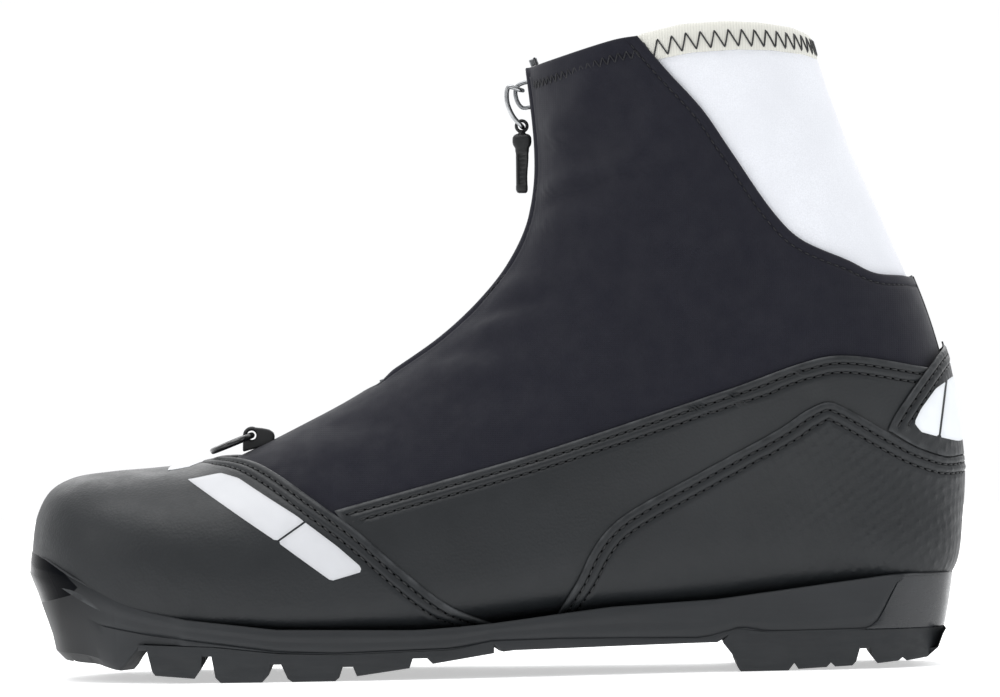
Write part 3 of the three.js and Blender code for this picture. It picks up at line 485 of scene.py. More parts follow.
def tube(points, radius, sides=8, closed=False):
    """Vertices and faces of a round tube through points in mm. radius is one number or one per point."""
    p = np.asarray(points, float)
    n = len(p)
    if closed:
        way = np.roll(p, -1, axis=0) - np.roll(p, 1, axis=0)
    else:
        way = np.gradient(p, axis=0)
    way /= np.maximum(np.linalg.norm(way, axis=1), 1e-9)[:, None]
    up = np.array([0.0, 0.0, 1.0]) if abs(way[0][2]) < 0.9 else np.array([0.0, 1.0, 0.0])
    frames = []
    for w in way:
        up = up - w * up.dot(w)
        up /= max(np.linalg.norm(up), 1e-9)
        frames.append((up, np.cross(w, up)))
    if closed:
        first, last = frames[0][0], frames[-1][0]
        drift = math.atan2(np.dot(np.cross(last, first), way[0]), np.dot(last, first))
        frames = [(u * math.cos(drift * i / n) + v * math.sin(drift * i / n),
                   v * math.cos(drift * i / n) - u * math.sin(drift * i / n)) for i,
                  (u, v) in enumerate(frames)]
    r = np.broadcast_to(np.asarray(radius, float), (n,))
    angles = np.linspace(0, 2 * math.pi, sides, endpoint=False)
    verts = np.vstack([p[i] + r[i] * (np.outer(np.cos(angles), u) + np.outer(np.sin(angles), v))
                       for i, (u, v) in enumerate(frames)])
    faces = []
    for i in range(n if closed else n - 1):
        a, b = i * sides, ((i + 1) % n) * sides
        faces += [[a + k, a + (k + 1) % sides, b + (k + 1) % sides, b + k] for k in range(sides)]
    if not closed:
        faces.append(list(range(sides))[::-1])
        faces.append([(n - 1) * sides + k for k in range(sides)])
    return verts, faces


def grid_faces(rows, cols, close_rows=False, flip=False):
    """Quads of a grid of vertices, row by row."""
    faces = []
    for i in range(rows if close_rows else rows - 1):
        for j in range(cols - 1):
            a, b = i * cols + j, ((i + 1) % rows) * cols + j
            f = [a, a + 1, b + 1, b]
            faces.append(f[::-1] if flip else f)
    return faces


def slab_faces(rows, cols):
    """Faces of a closed slab: one grid of vertices, and a second one just like it above the first."""
    above = rows * cols
    flat = grid_faces(rows, cols)
    faces = [f[::-1] for f in flat] + [[i + above for i in f] for f in flat]
    for i in range(rows - 1):
        for a, b in ((i * cols, (i + 1) * cols), ((i + 2) * cols - 1, (i + 1) * cols - 1)):
            faces.append([a + above, b + above, b, a])
    for j in range(cols - 1):
        last = (rows - 1) * cols + j
        faces.append([j, j + 1, j + 1 + above, j + above])
        faces.append([last + above, last + 1 + above, last + 1, last])
    return faces


def joined(parts):
    verts, faces, at = [], [], 0
    for v, f in parts:
        verts.append(v)
        faces += [[i + at for i in face] for face in f]
        at += len(v)
    return np.vstack(verts), faces


def thread_run(line, normals, length, gap, radius, dip=0.42):
    """Separate stitches along a 3-D line."""
    d = run_of(line)
    parts, at = [], gap
    shape = [(0.0, -dip), (0.16, 0.02), (0.5, 0.08), (0.84, 0.02), (1.0, -dip)]
    while at + length < d[-1]:
        q = at + np.array([w for w, _ in shape]) * length
        p = along(line, d, q) + along(normals, d, q) * np.array([h for _, h in shape])[:, None]
        parts.append(tube(p, [radius * 0.75, radius, radius, radius, radius * 0.75], 6))
        at += length + gap
    return parts


def stitch_end_shade(line, normals, length, gap, radius, lift):
    """A near-black plug between one stitch and the next: painted shade where the needle hole is."""
    d = run_of(line)
    parts = []
    for at in np.arange(gap / 2, d[-1] - gap, length + gap):
        p, m = along(line, d, at), along(normals, d, at)
        parts.append(tube([p - m * 0.6, p + m * lift], [radius, radius * 0.8], 6))
    return parts


def stitch_line(uv, rear, depth, distance, left):
    line = spaced(inset(uv, distance, left, rear), 1.0, rear)
    return at_chart(line, depth, rear), frame_at(line, rear)[2]


def zigzag(uv_low, uv_high, rear, depth, pitch, radius):
    """Zigzag thread between two chart lines."""
    low, high = spaced(uv_low, 0.8, rear), spaced(uv_high, 0.8, rear)
    a, b = at_chart(low, depth, rear), at_chart(high, depth, rear)
    normals = frame_at(low, rear)[2]
    d = run_of(a)
    share = d / d[-1]
    count = int(d[-1] / pitch)
    corners = []
    for i in range(2 * count + 1):
        w = i / (2 * count)
        p = along(b, np.linspace(0, 1, len(b)), w) if i % 2 else along(a, share, w)
        corners.append((p, along(normals, share, w)))
    ws = np.array([0.0, 0.12, 0.5, 0.88, 1.0])[:, None]
    lift = np.array([-0.35, 0.04, 0.1, 0.04, -0.35])[:, None]
    radii = radius * np.array([0.8, 1, 1, 1, 0.8])
    return [tube(p + (q - p) * ws + (m + (n - m) * ws) * lift, radii, 6)
            for (p, m), (q, n) in zip(corners, corners[1:])]


# ---------------------------------------------------------------- materials
WAVE_BANDS = 3.1416 * 2 / 20


def tint(colour, factor):
    return tuple(c * factor for c in colour)


class Graph:
    """Shorthand for a material's node tree. Sizes are in mm."""

    def __init__(self, name):
        self.material = bpy.data.materials.new(name)
        self.material.use_nodes = True
        self.nodes, self.links = self.material.node_tree.nodes, self.material.node_tree.links
        self.shader = next(n for n in self.nodes if n.type == "BSDF_PRINCIPLED")
        self.place = self.nodes.new("ShaderNodeTexCoord").outputs["Object"]
        self.height = None

    def node(self, kind, inputs=None, **settings):
        n = self.nodes.new(kind)
        for k, v in settings.items():
            setattr(n, k, v)
        for k, v in (inputs or {}).items():
            self.fill(n.inputs[k], v)
        return n

    def fill(self, socket, value):
        """Links another node's output to a socket, or sets the socket's own value."""
        if isinstance(value, bpy.types.NodeSocket):
            self.links.new(value, socket)
        elif socket.type == "RGBA" and len(value) == 3:
            socket.default_value = (*value, 1)
        else:
            socket.default_value = value

    def math(self, operation, a, b=0.0, clamp=False):
        return self.node("ShaderNodeMath", {0: a, 1: b}, operation=operation, use_clamp=clamp).outputs[0]

    def scaled(self, x, y, z, turn=(0, 0, 0)):
        return self.node("ShaderNodeMapping",
                         {"Vector": self.place, "Scale": (x, y, z), "Rotation": turn}).outputs[0]

    def noise(self, size_mm, detail=3.0, rough=0.55, vector=None):
        return self.node("ShaderNodeTexNoise", {
            "Vector": vector or self.place, "Scale": 1000 / size_mm, "Detail": detail,
            "Roughness": rough}).outputs[0]

    def cells(self, size_mm, feature="F1", vector=None, scatter=1.0):
        return self.node("ShaderNodeTexVoronoi", {
            "Vector": vector or self.place, "Scale": 1000 / size_mm, "Randomness": scatter,
        }, feature=feature).outputs["Distance"]

    def wave(self, size_mm, direction, distortion, detail_scale):
        return self.node("ShaderNodeTexWave", {
            "Vector": self.place, "Scale": 1000 / size_mm * WAVE_BANDS, "Distortion": distortion,
            "Detail": 1.0, "Detail Scale": detail_scale}, bands_direction=direction).outputs["Fac"]

    def ramp(self, value, low, high, a=0.0, b=1.0):
        return self.node("ShaderNodeMapRange", {
            "Value": value, "From Min": low, "From Max": high, "To Min": a, "To Max": b}).outputs[0]

    def blend(self, factor, a, b):
        return self.node("ShaderNodeMix", {0: factor, 6: a, 7: b}, data_type="RGBA").outputs[2]

    def bump(self, height, depth_mm, strength=1.0):
        inputs = {"Height": height, "Distance": depth_mm * MM, "Strength": strength}
        if self.height is not None:
            inputs["Normal"] = self.height
        self.height = self.node("ShaderNodeBump", inputs).outputs[0]

    def done(self, colour, rough, metal=0.0, **more):
        if self.height is not None:
            more["Normal"] = self.height
        for key, value in {"Base Color": colour, "Roughness": rough, "Metallic": metal, **more}.items():
            self.fill(self.shader.inputs[key], value)
        return self.material


def leather(name, colour, light, grain=1.0, scales=0.0):
    g = Graph(name)
    broad, fine = g.noise(38, 3), g.noise(0.55, 2)
    pebble = g.cells(0.95)
    g.bump(g.noise(14, 2), 0.35, 0.35)
    g.bump(pebble, 0.07 * grain, 0.75)
    g.bump(fine, 0.03 * grain, 0.6)
    if scales:
        slanted = g.scaled(1.0, 1.0, 0.72, (0, math.radians(28), 0))
        scale_cells = g.cells(2.6, "SMOOTH_F1", slanted, 0.25)
        x = g.node("ShaderNodeSeparateXYZ", {0: g.place}).outputs[0]
        rear = g.ramp(g.math("ADD", x, g.math("MULTIPLY", g.noise(30, 2), 0.03)), 0.08, 0.142)
        g.bump(g.math("MULTIPLY", g.math("MULTIPLY", scale_cells, rear), -1.0), scales, 1.0)
    wear = g.node("ShaderNodeAttribute", attribute_name="wear").outputs["Fac"]
    scuff = g.math("MULTIPLY", wear, g.ramp(g.noise(5, 4), 0.35, 0.7), clamp=True)
    tone = g.blend(g.ramp(broad, 0.3, 0.7), colour, tint(colour, 1.22))
    return g.done(g.blend(g.math("MULTIPLY", scuff, 0.6), tone, light),
                  g.ramp(g.math("ADD", g.noise(9, 4), g.math("MULTIPLY", pebble, 0.25)), 0.3, 0.9, 0.36,
                         0.52),
                  **{"Specular IOR Level": 0.3})


def knit(name, colour, pitch, lift, sheen, shade=0.82, rough=(0.7, 0.9), gloss=0.2):
    g = Graph(name)
    courses = g.wave(pitch, "Z", distortion=1.2, detail_scale=3)
    wales = g.wave(pitch * 1.15, "X", distortion=1.4, detail_scale=3)
    loops = g.math("MULTIPLY", courses, wales)
    fuzz = g.noise(0.45, 3, 0.7)
    g.bump(g.noise(7, 3), 0.16, 0.5)
    g.bump(loops, lift, 0.8)
    g.bump(fuzz, lift * 0.7, 0.7)
    tone = g.blend(g.ramp(g.noise(28, 3), 0.3, 0.7), colour, tint(colour, 1.15))
    # Painted shade: the colour drops to shade times its value where the fuzz, also the bump height, is low.
    fuzz_tone_and_shade = g.blend(g.ramp(fuzz, 0.35, 0.7), tint(colour, shade), tone)
    return g.done(fuzz_tone_and_shade, g.ramp(g.noise(6, 3), 0.3, 0.7, *rough),
                  **{"Sheen Weight": sheen, "Sheen Roughness": 0.5, "Specular IOR Level": gloss})


def moulded(name, colour, rough, grain_mm=0.5, lift=0.02, vary=1.25, gloss=0.35):
    g = Graph(name)
    g.bump(g.noise(9, 2), 0.12, 0.3)
    g.bump(g.noise(grain_mm, 3, 0.6), lift, 0.7)
    scratch = g.noise(3.0, 4, 0.7, g.scaled(0.2, 1, 1.6, (0.3, 0.5, 0.2)))
    tone = g.blend(g.ramp(g.noise(22, 4), 0.3, 0.7), colour, tint(colour, vary))
    dust = g.blend(g.ramp(scratch, 0.62, 0.8, 0.0, 0.35), tone, tuple(min(1, c * 1.8 + 0.01) for c in colour))
    return g.done(dust, g.ramp(scratch, 0.3, 0.75, rough * 0.85, min(1, rough * 1.25)),
                  **{"Specular IOR Level": gloss})


def bumper(name, colour, facet_dark_reflection):
    """Sole rubber with a glossy pointed facet round the toe. The facet's near-black colour is a painted dark
    reflection, and the front of the toe is painted darker as painted shade.
    """
    g = Graph(name)
    g.bump(g.noise(9, 2), 0.05, 0.3)
    grain = g.noise(0.6, 3, 0.6)
    x, _, z = g.node("ShaderNodeSeparateXYZ", {0: g.place}).outputs
    lean = g.math("MULTIPLY", g.math("ABSOLUTE", g.math("SUBTRACT", z, 0.0303)), 0.97)
    below = g.math("MULTIPLY", g.math("MAXIMUM", g.math("SUBTRACT", 0.0277, z), 0.0), 2.5)
    matt = g.ramp(g.math("ADD", g.math("ADD", x, lean), below), -0.1323, -0.1319)
    g.bump(g.math("MULTIPLY", grain, matt), 0.03, 0.7)
    # Painted shade: towards the front of the toe the rubber colour drops to 0.4 of its value, keeping the
    # softbox-lit toe face dark; its specular is cut there too.
    front = g.ramp(x, -0.138, -0.122)
    tone = g.blend(front, tint(colour, 0.4), tint(colour, 1.1))
    shine = g.ramp(g.math("MULTIPLY", matt, g.ramp(front, 0.0, 1.0, 0.2, 1.0)), 0.0, 1.0, 0.012, 0.3)
    # Where matt is 0 the glossy facet takes the near-black colour: a painted dark reflection on rubber that is
    # otherwise the same.
    return g.done(g.blend(matt, facet_dark_reflection, tone), g.ramp(matt, 0.0, 1.0, 0.2, 0.42),
                  **{"Specular IOR Level": shine})


def metal(name, colour, rough):
    g = Graph(name)
    streak = g.noise(0.9, 4, 0.7, g.scaled(1, 0.15, 1))
    g.bump(g.noise(2.5, 3), 0.02, 0.4)
    return g.done(g.blend(g.ramp(g.noise(2, 3), 0.3, 0.7), colour, tint(colour, 0.7)),
                  g.ramp(streak, 0.3, 0.7, rough * 0.7, rough * 1.5), 1.0)


def film(name, colour):
    g = Graph(name)
    beads = g.cells(0.35, scatter=0.15)
    g.bump(beads, 0.012, 0.5)
    g.bump(g.noise(6, 2), 0.05, 0.4)
    tone = g.blend(g.ramp(g.noise(18, 3), 0.3, 0.7), colour, tint(colour, 0.94))
    wear = g.node("ShaderNodeAttribute", attribute_name="wear").outputs["Fac"]
    return g.done(g.blend(g.math("MULTIPLY", wear, 0.35), tone, tint(colour, 0.6)),
                  g.ramp(beads, 0.0, 0.6, 0.34, 0.46))


def ribbed(name, colour, pitch, direction, lift, rough=0.85, sheen=0.15):
    g = Graph(name)
    rib_height_and_groove_shade = g.wave(pitch, direction, distortion=0.3, detail_scale=2)
    g.bump(rib_height_and_groove_shade, lift, 0.8)
    g.bump(g.noise(0.4, 3), lift * 0.5, 0.7)
    # Painted shade: the colour drops to 0.9 of its value in the rib grooves, where the bump height is low.
    return g.done(g.blend(rib_height_and_groove_shade, tint(colour, 0.9), colour), rough,
                  **{"Sheen Weight": sheen, "Sheen Roughness": 0.5})


LEATHER, WORN_LEATHER = (0.0125, 0.0142, 0.0160), (0.085, 0.09, 0.095)
RUBBER = (0.0150, 0.0168, 0.0190)
MATS = {
    "upper": leather("upper_leather", LEATHER, WORN_LEATHER),
    "overlay": leather("overlay_leather", LEATHER, WORN_LEATHER, 0.9, 0.5),
    "softshell": knit("softshell_knit", (0.0105, 0.0108, 0.0175), 0.62, 0.035, 0.10, gloss=0.16),
    "shell_back": knit("softshell_fleece", (0.012, 0.012, 0.014), 1.1, 0.12, 0.35),
    "cuff": knit("cuff_brushed_knit", (0.72, 0.735, 0.775), 0.5, 0.022, 0.1, 0.965, (0.75, 0.9)),
    "binding": ribbed("binding_elastic", (0.66, 0.655, 0.60), 0.9, "X", 0.08),
    "lining": knit("lining_fleece", (0.045, 0.048, 0.054), 0.9, 0.1, 0.3),
    "footbed": knit("footbed_felt", (0.055, 0.065, 0.08), 1.4, 0.15, 0.3),
    "tongue": knit("tongue_mesh", (0.022, 0.024, 0.028), 1.5, 0.18, 0.2),
    "thread": ribbed("thread_black", (0.0125, 0.0138, 0.0152), 0.35, "X", 0.05, 0.5, 0.0),
    "thread_dark": ribbed("thread_navy", (0.0045, 0.005, 0.008), 0.35, "X", 0.05, 0.5, 0.0),
    # near-black colour of the plugs at the stitch ends: painted shade of the needle holes
    "painted_hole_shade": moulded("stitch_hole_painted_shade", (0.0006, 0.0006, 0.0007), 0.95, 0.5, 0.01, 1.2, 0.05),
    "rubber": moulded("sole_rubber", RUBBER, 0.5, 0.6, 0.03),
    "tread": moulded("tread_rubber", (0.0140, 0.0158, 0.0178), 0.6, 0.7, 0.045, 1.35),
    # the near-black third colour is a painted dark reflection on the glossy toe facet
    "gloss": bumper("sole_bumper", RUBBER, (0.0028, 0.0032, 0.0042)),
    "satin": moulded("sole_satin", (0.0165, 0.0182, 0.0205), 0.28, 0.8, 0.012, 1.25, 0.45),
    "film": film("pale_film", (0.60, 0.61, 0.635)),
    "reflect": film("reflective_film", (0.80, 0.83, 0.86)),
    "slider": metal("slider_gunmetal", (0.27, 0.28, 0.29), 0.26),
    "link": metal("link_nickel", (0.42, 0.43, 0.44), 0.2),
    "steel": metal("bar_steel", (0.55, 0.56, 0.57), 0.24),
    "tab": moulded("tab_plastic", (0.012, 0.0125, 0.0135), 0.42, 0.3, 0.02, 1.3),
    "holder": moulded("holder_plastic", (0.013, 0.0135, 0.0145), 0.45, 0.3, 0.02, 1.3),
    "ring": moulded("ring_paint", (0.0085, 0.009, 0.0095), 0.2, 0.8, 0.006, 1.3, 0.6),
    "coil": moulded("coil_nylon", (0.009, 0.0095, 0.011), 0.35, 0.3, 0.01),
    "tape": ribbed("zip_tape_weave", (0.013, 0.014, 0.018), 0.8, "Z", 0.1),
    "cord": ribbed("lace_braid", (0.013, 0.013, 0.014), 0.9, "Z", 0.14, 0.7),
    "webbing": ribbed("loop_webbing", (0.015, 0.015, 0.017), 0.6, "Y", 0.1, 0.8),
    "board": moulded("board_fibre", (0.25, 0.20, 0.12), 0.85, 0.5, 0.05),
    "stiffener": moulded("stiffener_sheet", (0.35, 0.33, 0.29), 0.7, 0.5, 0.03),
}


# ---------------------------------------------------------------- camera, floor and light
ROLL = math.radians(1.063)
RISE = math.radians(0.9)
DISTANCE = 3.5
AIM = Vector((0.0022, 0.0, 0.1025))
right = Vector((math.cos(ROLL), 0, -math.sin(ROLL)))
back = Vector((0, -math.cos(RISE), math.sin(RISE)))
up = back.cross(right).normalized()
back = right.cross(up).normalized()
camera = bpy.data.objects.new("camera", bpy.data.cameras.new("camera"))
bpy.context.scene.collection.objects.link(camera)
camera.matrix_world = Matrix((
    (right.x, up.x, back.x, 0), (right.y, up.y, back.y, 0), (right.z, up.z, back.z, 0), (0, 0, 0, 1)))
camera.location = AIM + back * DISTANCE
camera.data.sensor_width = 36
camera.data.lens = 36 * DISTANCE / 0.3178
camera.data.clip_end = 60
bpy.context.scene.camera = camera
bpy.context.scene.view_settings.view_transform = "Standard"

world = bpy.data.worlds.new("studio")
bpy.context.scene.world = world
world.use_nodes = True
background = world.node_tree.nodes["Background"]
direction = world.node_tree.nodes.new("ShaderNodeTexCoord").outputs["Generated"]
parts_of = world.node_tree.nodes.new("ShaderNodeSeparateXYZ")
world.node_tree.links.new(direction, parts_of.inputs[0])
sweep = world.node_tree.nodes.new("ShaderNodeMapRange")
for socket, value in (("From Min", -0.7), ("From Max", 0.5), ("To Min", 0.55), ("To Max", 1.02)):
    sweep.inputs[socket].default_value = value
world.node_tree.links.new(parts_of.outputs[1], sweep.inputs["Value"])
world.node_tree.links.new(sweep.outputs[0], background.inputs[1])
background.inputs[0].default_value = (0.985, 0.99, 1.0, 1)


def light(name, where, at, size, power, colour=(1, 1, 1)):
    lamp = bpy.data.lights.new(name, "AREA")
    lamp.shape = "RECTANGLE"
    lamp.size, lamp.size_y = size
    lamp.energy = power
    lamp.color = colour
    obj = bpy.data.objects.new(name, lamp)
    bpy.context.scene.collection.objects.link(obj)
    obj.location = where
    obj.rotation_euler = (Vector(at) - Vector(where)).to_track_quat("-Z", "Y").to_euler()


light("top_softbox", (-0.25, -0.2, 1.5), (0, 0, 0.05), (1.3, 1.0), 13)
light("toe_softbox", (-1.5, -0.9, 0.9), (-0.02, 0, 0.08), (0.7, 1.0), 5, (1.0, 0.99, 0.98))
light("heel_softbox", (1.6, -0.7, 0.8), (0.05, 0, 0.1), (0.6, 1.0), 2.6, (0.98, 0.99, 1.0))
light("back_softbox", (0.1, 1.6, 1.0), (0, 0, 0.1), (1.8, 1.0), 9)



def build_floor(half, count):
    g = Graph("floor_paper")
    g.bump(g.noise(3, 2), 0.02, 0.15)
    tone = g.blend(g.ramp(g.noise(900, 2), 0.3, 0.7), (0.93, 0.935, 0.94), (0.90, 0.905, 0.91))
    paper = g.done(tone, 0.62, **{"Emission Color": (1, 1, 1), "Emission Strength": 0.5})
    lines = np.linspace(-half, half, count)
    mesh = bpy.data.meshes.new("floor")
    mesh.from_pydata([(x * MM, y * MM, FLOOR_Z * MM) for y in lines for x in lines], [],
                     grid_faces(count, count))
    mesh.materials.append(paper)
    floor = bpy.data.objects.new("floor", mesh)
    bpy.context.scene.collection.objects.link(floor)


FLOOR_Z = -0.05
build_floor(1650, 25)


# ---------------------------------------------------------------- seam lines in the chart
def side_line(points, side, rear, curved=True):
    line = curve_line(points) if curved else resample(points, 1.0)
    return to_chart(line, side, rear)


def ridge_at(x):
    t = np.linspace(0, 1, 4001)
    s = t[np.argmin(np.abs(front_curve(t)[:, 0] - x) + 10 * (t > 0.8))]
    return np.array([[s * U_SCALE, 0.0]])


def back_at(z):
    t = np.linspace(0.6, 1, 4001)
    return np.array([[t[np.argmin(np.abs(base_curve(t)[:, 1] - z))] * U_SCALE, 0.0]])


def feather_z(x):
    f = np.array(FEATHER)
    return np.interp(x, f[:, 0], f[:, 1])


def foot_line(x0, x1, side, rear):
    """Lower edge of a panel, hidden just inside the sole."""
    x = np.linspace(x0, x1, max(3, int(abs(x1 - x0) / 1.5)))
    steep = smooth((x - 100) / 26) + smooth((-95 - x) / 22)
    uv = to_chart(np.c_[x, feather_z(x) - 3.0 * steep], side, False)
    push = 4.0 * (1 - steep)
    limit = girth(uv[:, 0] / U_SCALE, side) - 0.05
    uv[:, 1] = side * np.minimum(np.abs(uv[:, 1]) + push, limit)
    if rear:
        uv[:, 1] = side * (girth(uv[:, 0] / U_SCALE, side) - np.abs(uv[:, 1]))
    return uv


def mirrored(builder):
    """Lateral line then the medial one reversed, for a panel that crosses the ridge or the back."""
    return builder(LATERAL), builder(MEDIAL)[::-1]


# ---------------------------------------------------------------- upper panels
OVERLAY, QUARTER, COVER = (-1.3, -0.3), (0.0, 1.0), (1.3, 2.5)


def build_toe_cap():
    seam_l, seam_m = mirrored(lambda side: np.vstack([
        ridge_at(-88.6), side_line(TOE_SEAM, side, False)[2:]]))
    foot_l, foot_m = mirrored(lambda side: foot_line(-1.3, -145.2, side, False))
    tip = np.array([[4.0, 0.0]])
    bottom = np.vstack([foot_l, tip, foot_m])
    panel("toe_cap_leather", [(seam_m, "double"), (np.vstack([seam_l, bottom[:1]]), "double"),
                              (np.vstack([bottom, seam_m[:1]]), "hidden")],
          OVERLAY, MATS["upper"], "toe_cap", "upper_leather")
    return seam_l, seam_m[::-1]


def build_quarter(side, tag):
    top = np.vstack([side_line(QUARTER_TOP + [(141.0, 93.8)], side, True), back_at(93.0)])
    foot = foot_line(-18, 140.5, side, True)
    front = side_line([(-50.8, 53.4), (-44, 44), (-34, 33.5), (-18, 20)], side, True)
    rear = spaced(np.vstack([back_at(93.0), back_at(60.0), back_at(27.5)]), 4.0, True)
    panel(f"quarter_{tag}_leather",
          [(top, "double"), (rear, "hidden"), (np.vstack([rear[-1:], foot[::-1], front[-1:]]), "hidden"),
           (front[::-1], "hidden")],
          QUARTER, MATS["upper"], f"quarter_{tag}", "upper_leather", rear=True)
    return top


def build_heel_overlay():
    top_l, top_m = mirrored(lambda side: side_line(OVERLAY_TOP[:-1] + [(146.6, 66.2)], side, True))
    top = np.vstack([top_l, back_at(66.5), top_m])
    foot_l, foot_m = mirrored(lambda side: foot_line(18.5, 141.5, side, True))
    foot = np.vstack([top[:1], foot_l, back_at(27.0), foot_m, top[-1:]])
    panel("heel_overlay_leather", [(top, "double"), (foot[::-1], "hidden")], OVERLAY, MATS["overlay"],
          "heel_overlay",
          "overlay_leather", rear=True)
    return top


def build_heel_patch():
    line = [(144.4, 100.9), (142.5, 100.1)] + PATCH_FRONT[1:]
    front_l, front_m = mirrored(lambda side: side_line(line, side, True))
    low_l, low_m = mirrored(lambda side: side_line(
        [(123.6, 74.9)] + [(x + 0.1, z + 0.15) for x, z in OVERLAY_TOP[11:-1]] + [(146.6, 66.4)], side, True))
    low = np.vstack([low_l, back_at(66.7), low_m])
    upper_edge = np.vstack([front_m[-1:], back_at(101.2), front_l[:1]])
    panel("heel_patch_leather",
          [(spaced(upper_edge, 1.5, True), "cut"), (front_l, "double"), (low, "hidden"), (front_m, "double")],
          OVERLAY, MATS["overlay"], "heel_patch", "upper_leather", rear=True)
    return front_l, front_m


# Folds of the cover: side-view line, height in mm, width in mm, and how strongly the medial side shows it.
FOLDS = [
    ([(8.5, 143.5), (17, 148), (28, 153), (45, 158.5), (62, 162)], -0.95, 2.2, 0.6),
    ([(9, 148), (20, 153), (34, 159), (52, 165)], 1.7, 3.8, 0.6),
    ([(7, 137), (18, 141), (34, 146), (56, 150)], 1.3, 4.0, 0.7),
    ([(24, 158), (34, 168), (44, 178), (52, 188)], -1.2, 5.5, 0.8),
    ([(34, 152), (48, 163), (58, 176)], 2.0, 5.0, 0.7),
    ([(16, 166), (27, 178), (38, 192)], 1.9, 5.5, 0.8),
    ([(62, 152), (72, 142), (84, 134)], 1.1, 4.5, 0.8),
    ([(-11, 111), (-2, 114), (8, 117), (20, 118)], -0.8, 2.4, 0.9),
    ([(-9, 106), (2, 110), (16, 112)], 1.3, 3.6, 0.9),
    ([(-8, 117), (4, 122), (22, 124)], 1.2, 4.0, 0.9),
    ([(-22, 99), (-10, 103), (6, 104)], -0.7, 2.8, 0.5),
    ([(-26, 93), (-12, 96), (8, 97)], 0.9, 3.4, 0.6),
    ([(-56, 77), (-44, 80), (-28, 80)], -0.8, 3.0, 0.9),
    ([(-64, 70), (-50, 72), (-36, 70)], 1.0, 4.0, 0.6),
    ([(30, 128), (52, 132), (78, 128)], -0.9, 6.5, 0.8),
    ([(38, 118), (64, 121), (92, 116)], 1.1, 6.0, 0.7),
    ([(-20, 82), (0, 88), (26, 90)], -0.7, 4.5, 1.0),
    ([(96, 118), (112, 112), (128, 110)], -0.6, 5.0, 1.0),
]


def fold_height(points, side):
    x, z = points[:, 0], points[:, 2]
    out = np.zeros(len(points))
    for line, height, width, other in FOLDS:
        line = curve_line(line, 2.0)
        gap = (x[:, None] - line[None, :, 0]) ** 2 + (z[:, None] - line[None, :, 1]) ** 2
        k = gap.argmin(1)
        d = np.sqrt(gap[np.arange(len(k)), k])
        w = k / (len(line) - 1)
        fade = smooth(np.minimum(w, 1 - w) / 0.3)
        out += height * (other if side > 0 else 1.0) * np.exp(-(d / width) ** 2) * fade
    return out


ZIP_END_X = -40.5


def build_cover(side, tag):
    edge = side_line(COVER_EDGE[:-1] + [(131.6, 124.2)], side, False)
    edge = edge[edge[:, 0] < U_SCALE]
    back_top, back_low = back_at(123.9), back_at(86.0)
    for point in (back_top, back_low):
        point[:, 1] = side * girth(point[:, 0] / U_SCALE, side)
    hem = side_line([(10.6, 190.9)] + COVER_HEM[1:], side, False)
    hem = hem[np.abs(hem[:, 1]) > 6.4]
    zip_end = ridge_at(ZIP_END_X)[0, 0]
    flap = np.c_[np.linspace(hem[0, 0], zip_end + 2.5, 60), np.full(60, side * 5.75)]
    seam = np.c_[np.linspace(zip_end - 1.0, ridge_at(-92)[0, 0], 40), np.full(40, side * 0.12)]
    low = side_line([(-89, 63.5), (-84, 60), (-76, 57), (-66, 51.5), (-56, 44.6)], side, False, False)
    low = np.vstack([low, side_line([(x, z - 8) for x, z in QUARTER_TOP] + [(141, 86.2)], side, False)])
    rear = spaced(np.vstack([back_low, back_top]), 3.0, False)
    turn = inset(spaced(np.vstack([hem[:1], flap[:1]]), 0.8, False), 0.0, 1, False)

    def relief(points, uv):
        away = np.abs(uv[:, 1])
        rim = np.clip((away - 5.5) / 14, 0, 1)
        welt = 1.15 * np.exp(-(np.maximum(0, away - 6.2) / 2.6) ** 2)
        welt *= smooth((uv[:, 0] - flap[-1, 0]) / 6) * smooth((hem[0, 0] + 4 - uv[:, 0]) / 6)
        return fold_height(points, side) * rim + welt

    obj = panel(
        f"cover_{tag}_softshell",
        [(np.vstack([hem, edge[:1]]), "hem"), (np.vstack([edge, back_top]), "single"), (rear[::-1], "hidden"),
         (np.vstack([back_low, low[::-1], seam[-1:]]), "hidden"), (seam[::-1], "cut"),
         (spaced(np.vstack([seam[:1], flap[-1:]]), 1.0, False), "cut"), (flap[::-1], "flap"),
         (turn[::-1], "cut")],
        COVER, [MATS["softshell"], MATS["shell_back"]], f"cover_{tag}", "softshell", relief=relief,
        inner=True)
    return hem, edge, flap


def build_back_tape():
    """Narrow tape over the seam where the two halves of the cover meet at the heel."""
    middle = np.vstack([back_at(z) for z in np.linspace(97.5, 123.4, 14)])
    one, other = middle - [0, 2.8], middle + [0, 2.8]
    ends = [spaced(np.vstack([a, b]), 0.9, True) for a, b in ((one[-1:], other[-1:]), (other[:1], one[:1]))]
    panel("cover_back_tape", [(one, "cut"), (ends[0], "cut"), (other[::-1], "cut"), (ends[1], "cut")],
          (0.95, 1.26),
          MATS["tape"], (), "softshell", rear=True, grid=(2.2, 1.3))


build_back_tape()
toe_seams = build_toe_cap()
quarter_tops = [build_quarter(side, tag) for side, tag in SIDES]
overlay_top = build_heel_overlay()
patch_fronts = build_heel_patch()
cover_lines = {side: build_cover(side, tag) for side, tag in SIDES}


def sew(name, rows, material, length, gap, radius):
    parts, shade_plugs = [], []
    for line, rear, depth, distance, left in rows:
        p, n = stitch_line(line, rear, depth, distance, left)
        parts += thread_run(p, n, length, gap, radius)
        # the near-black plugs at each stitch end are painted shade of the needle holes
        shade_plugs += stitch_end_shade(p, n, length, gap, 0.42, 0.04)
    add(name + "_holes", *joined(shade_plugs), MATS["painted_hole_shade"])
    add(name, *joined(parts), material)


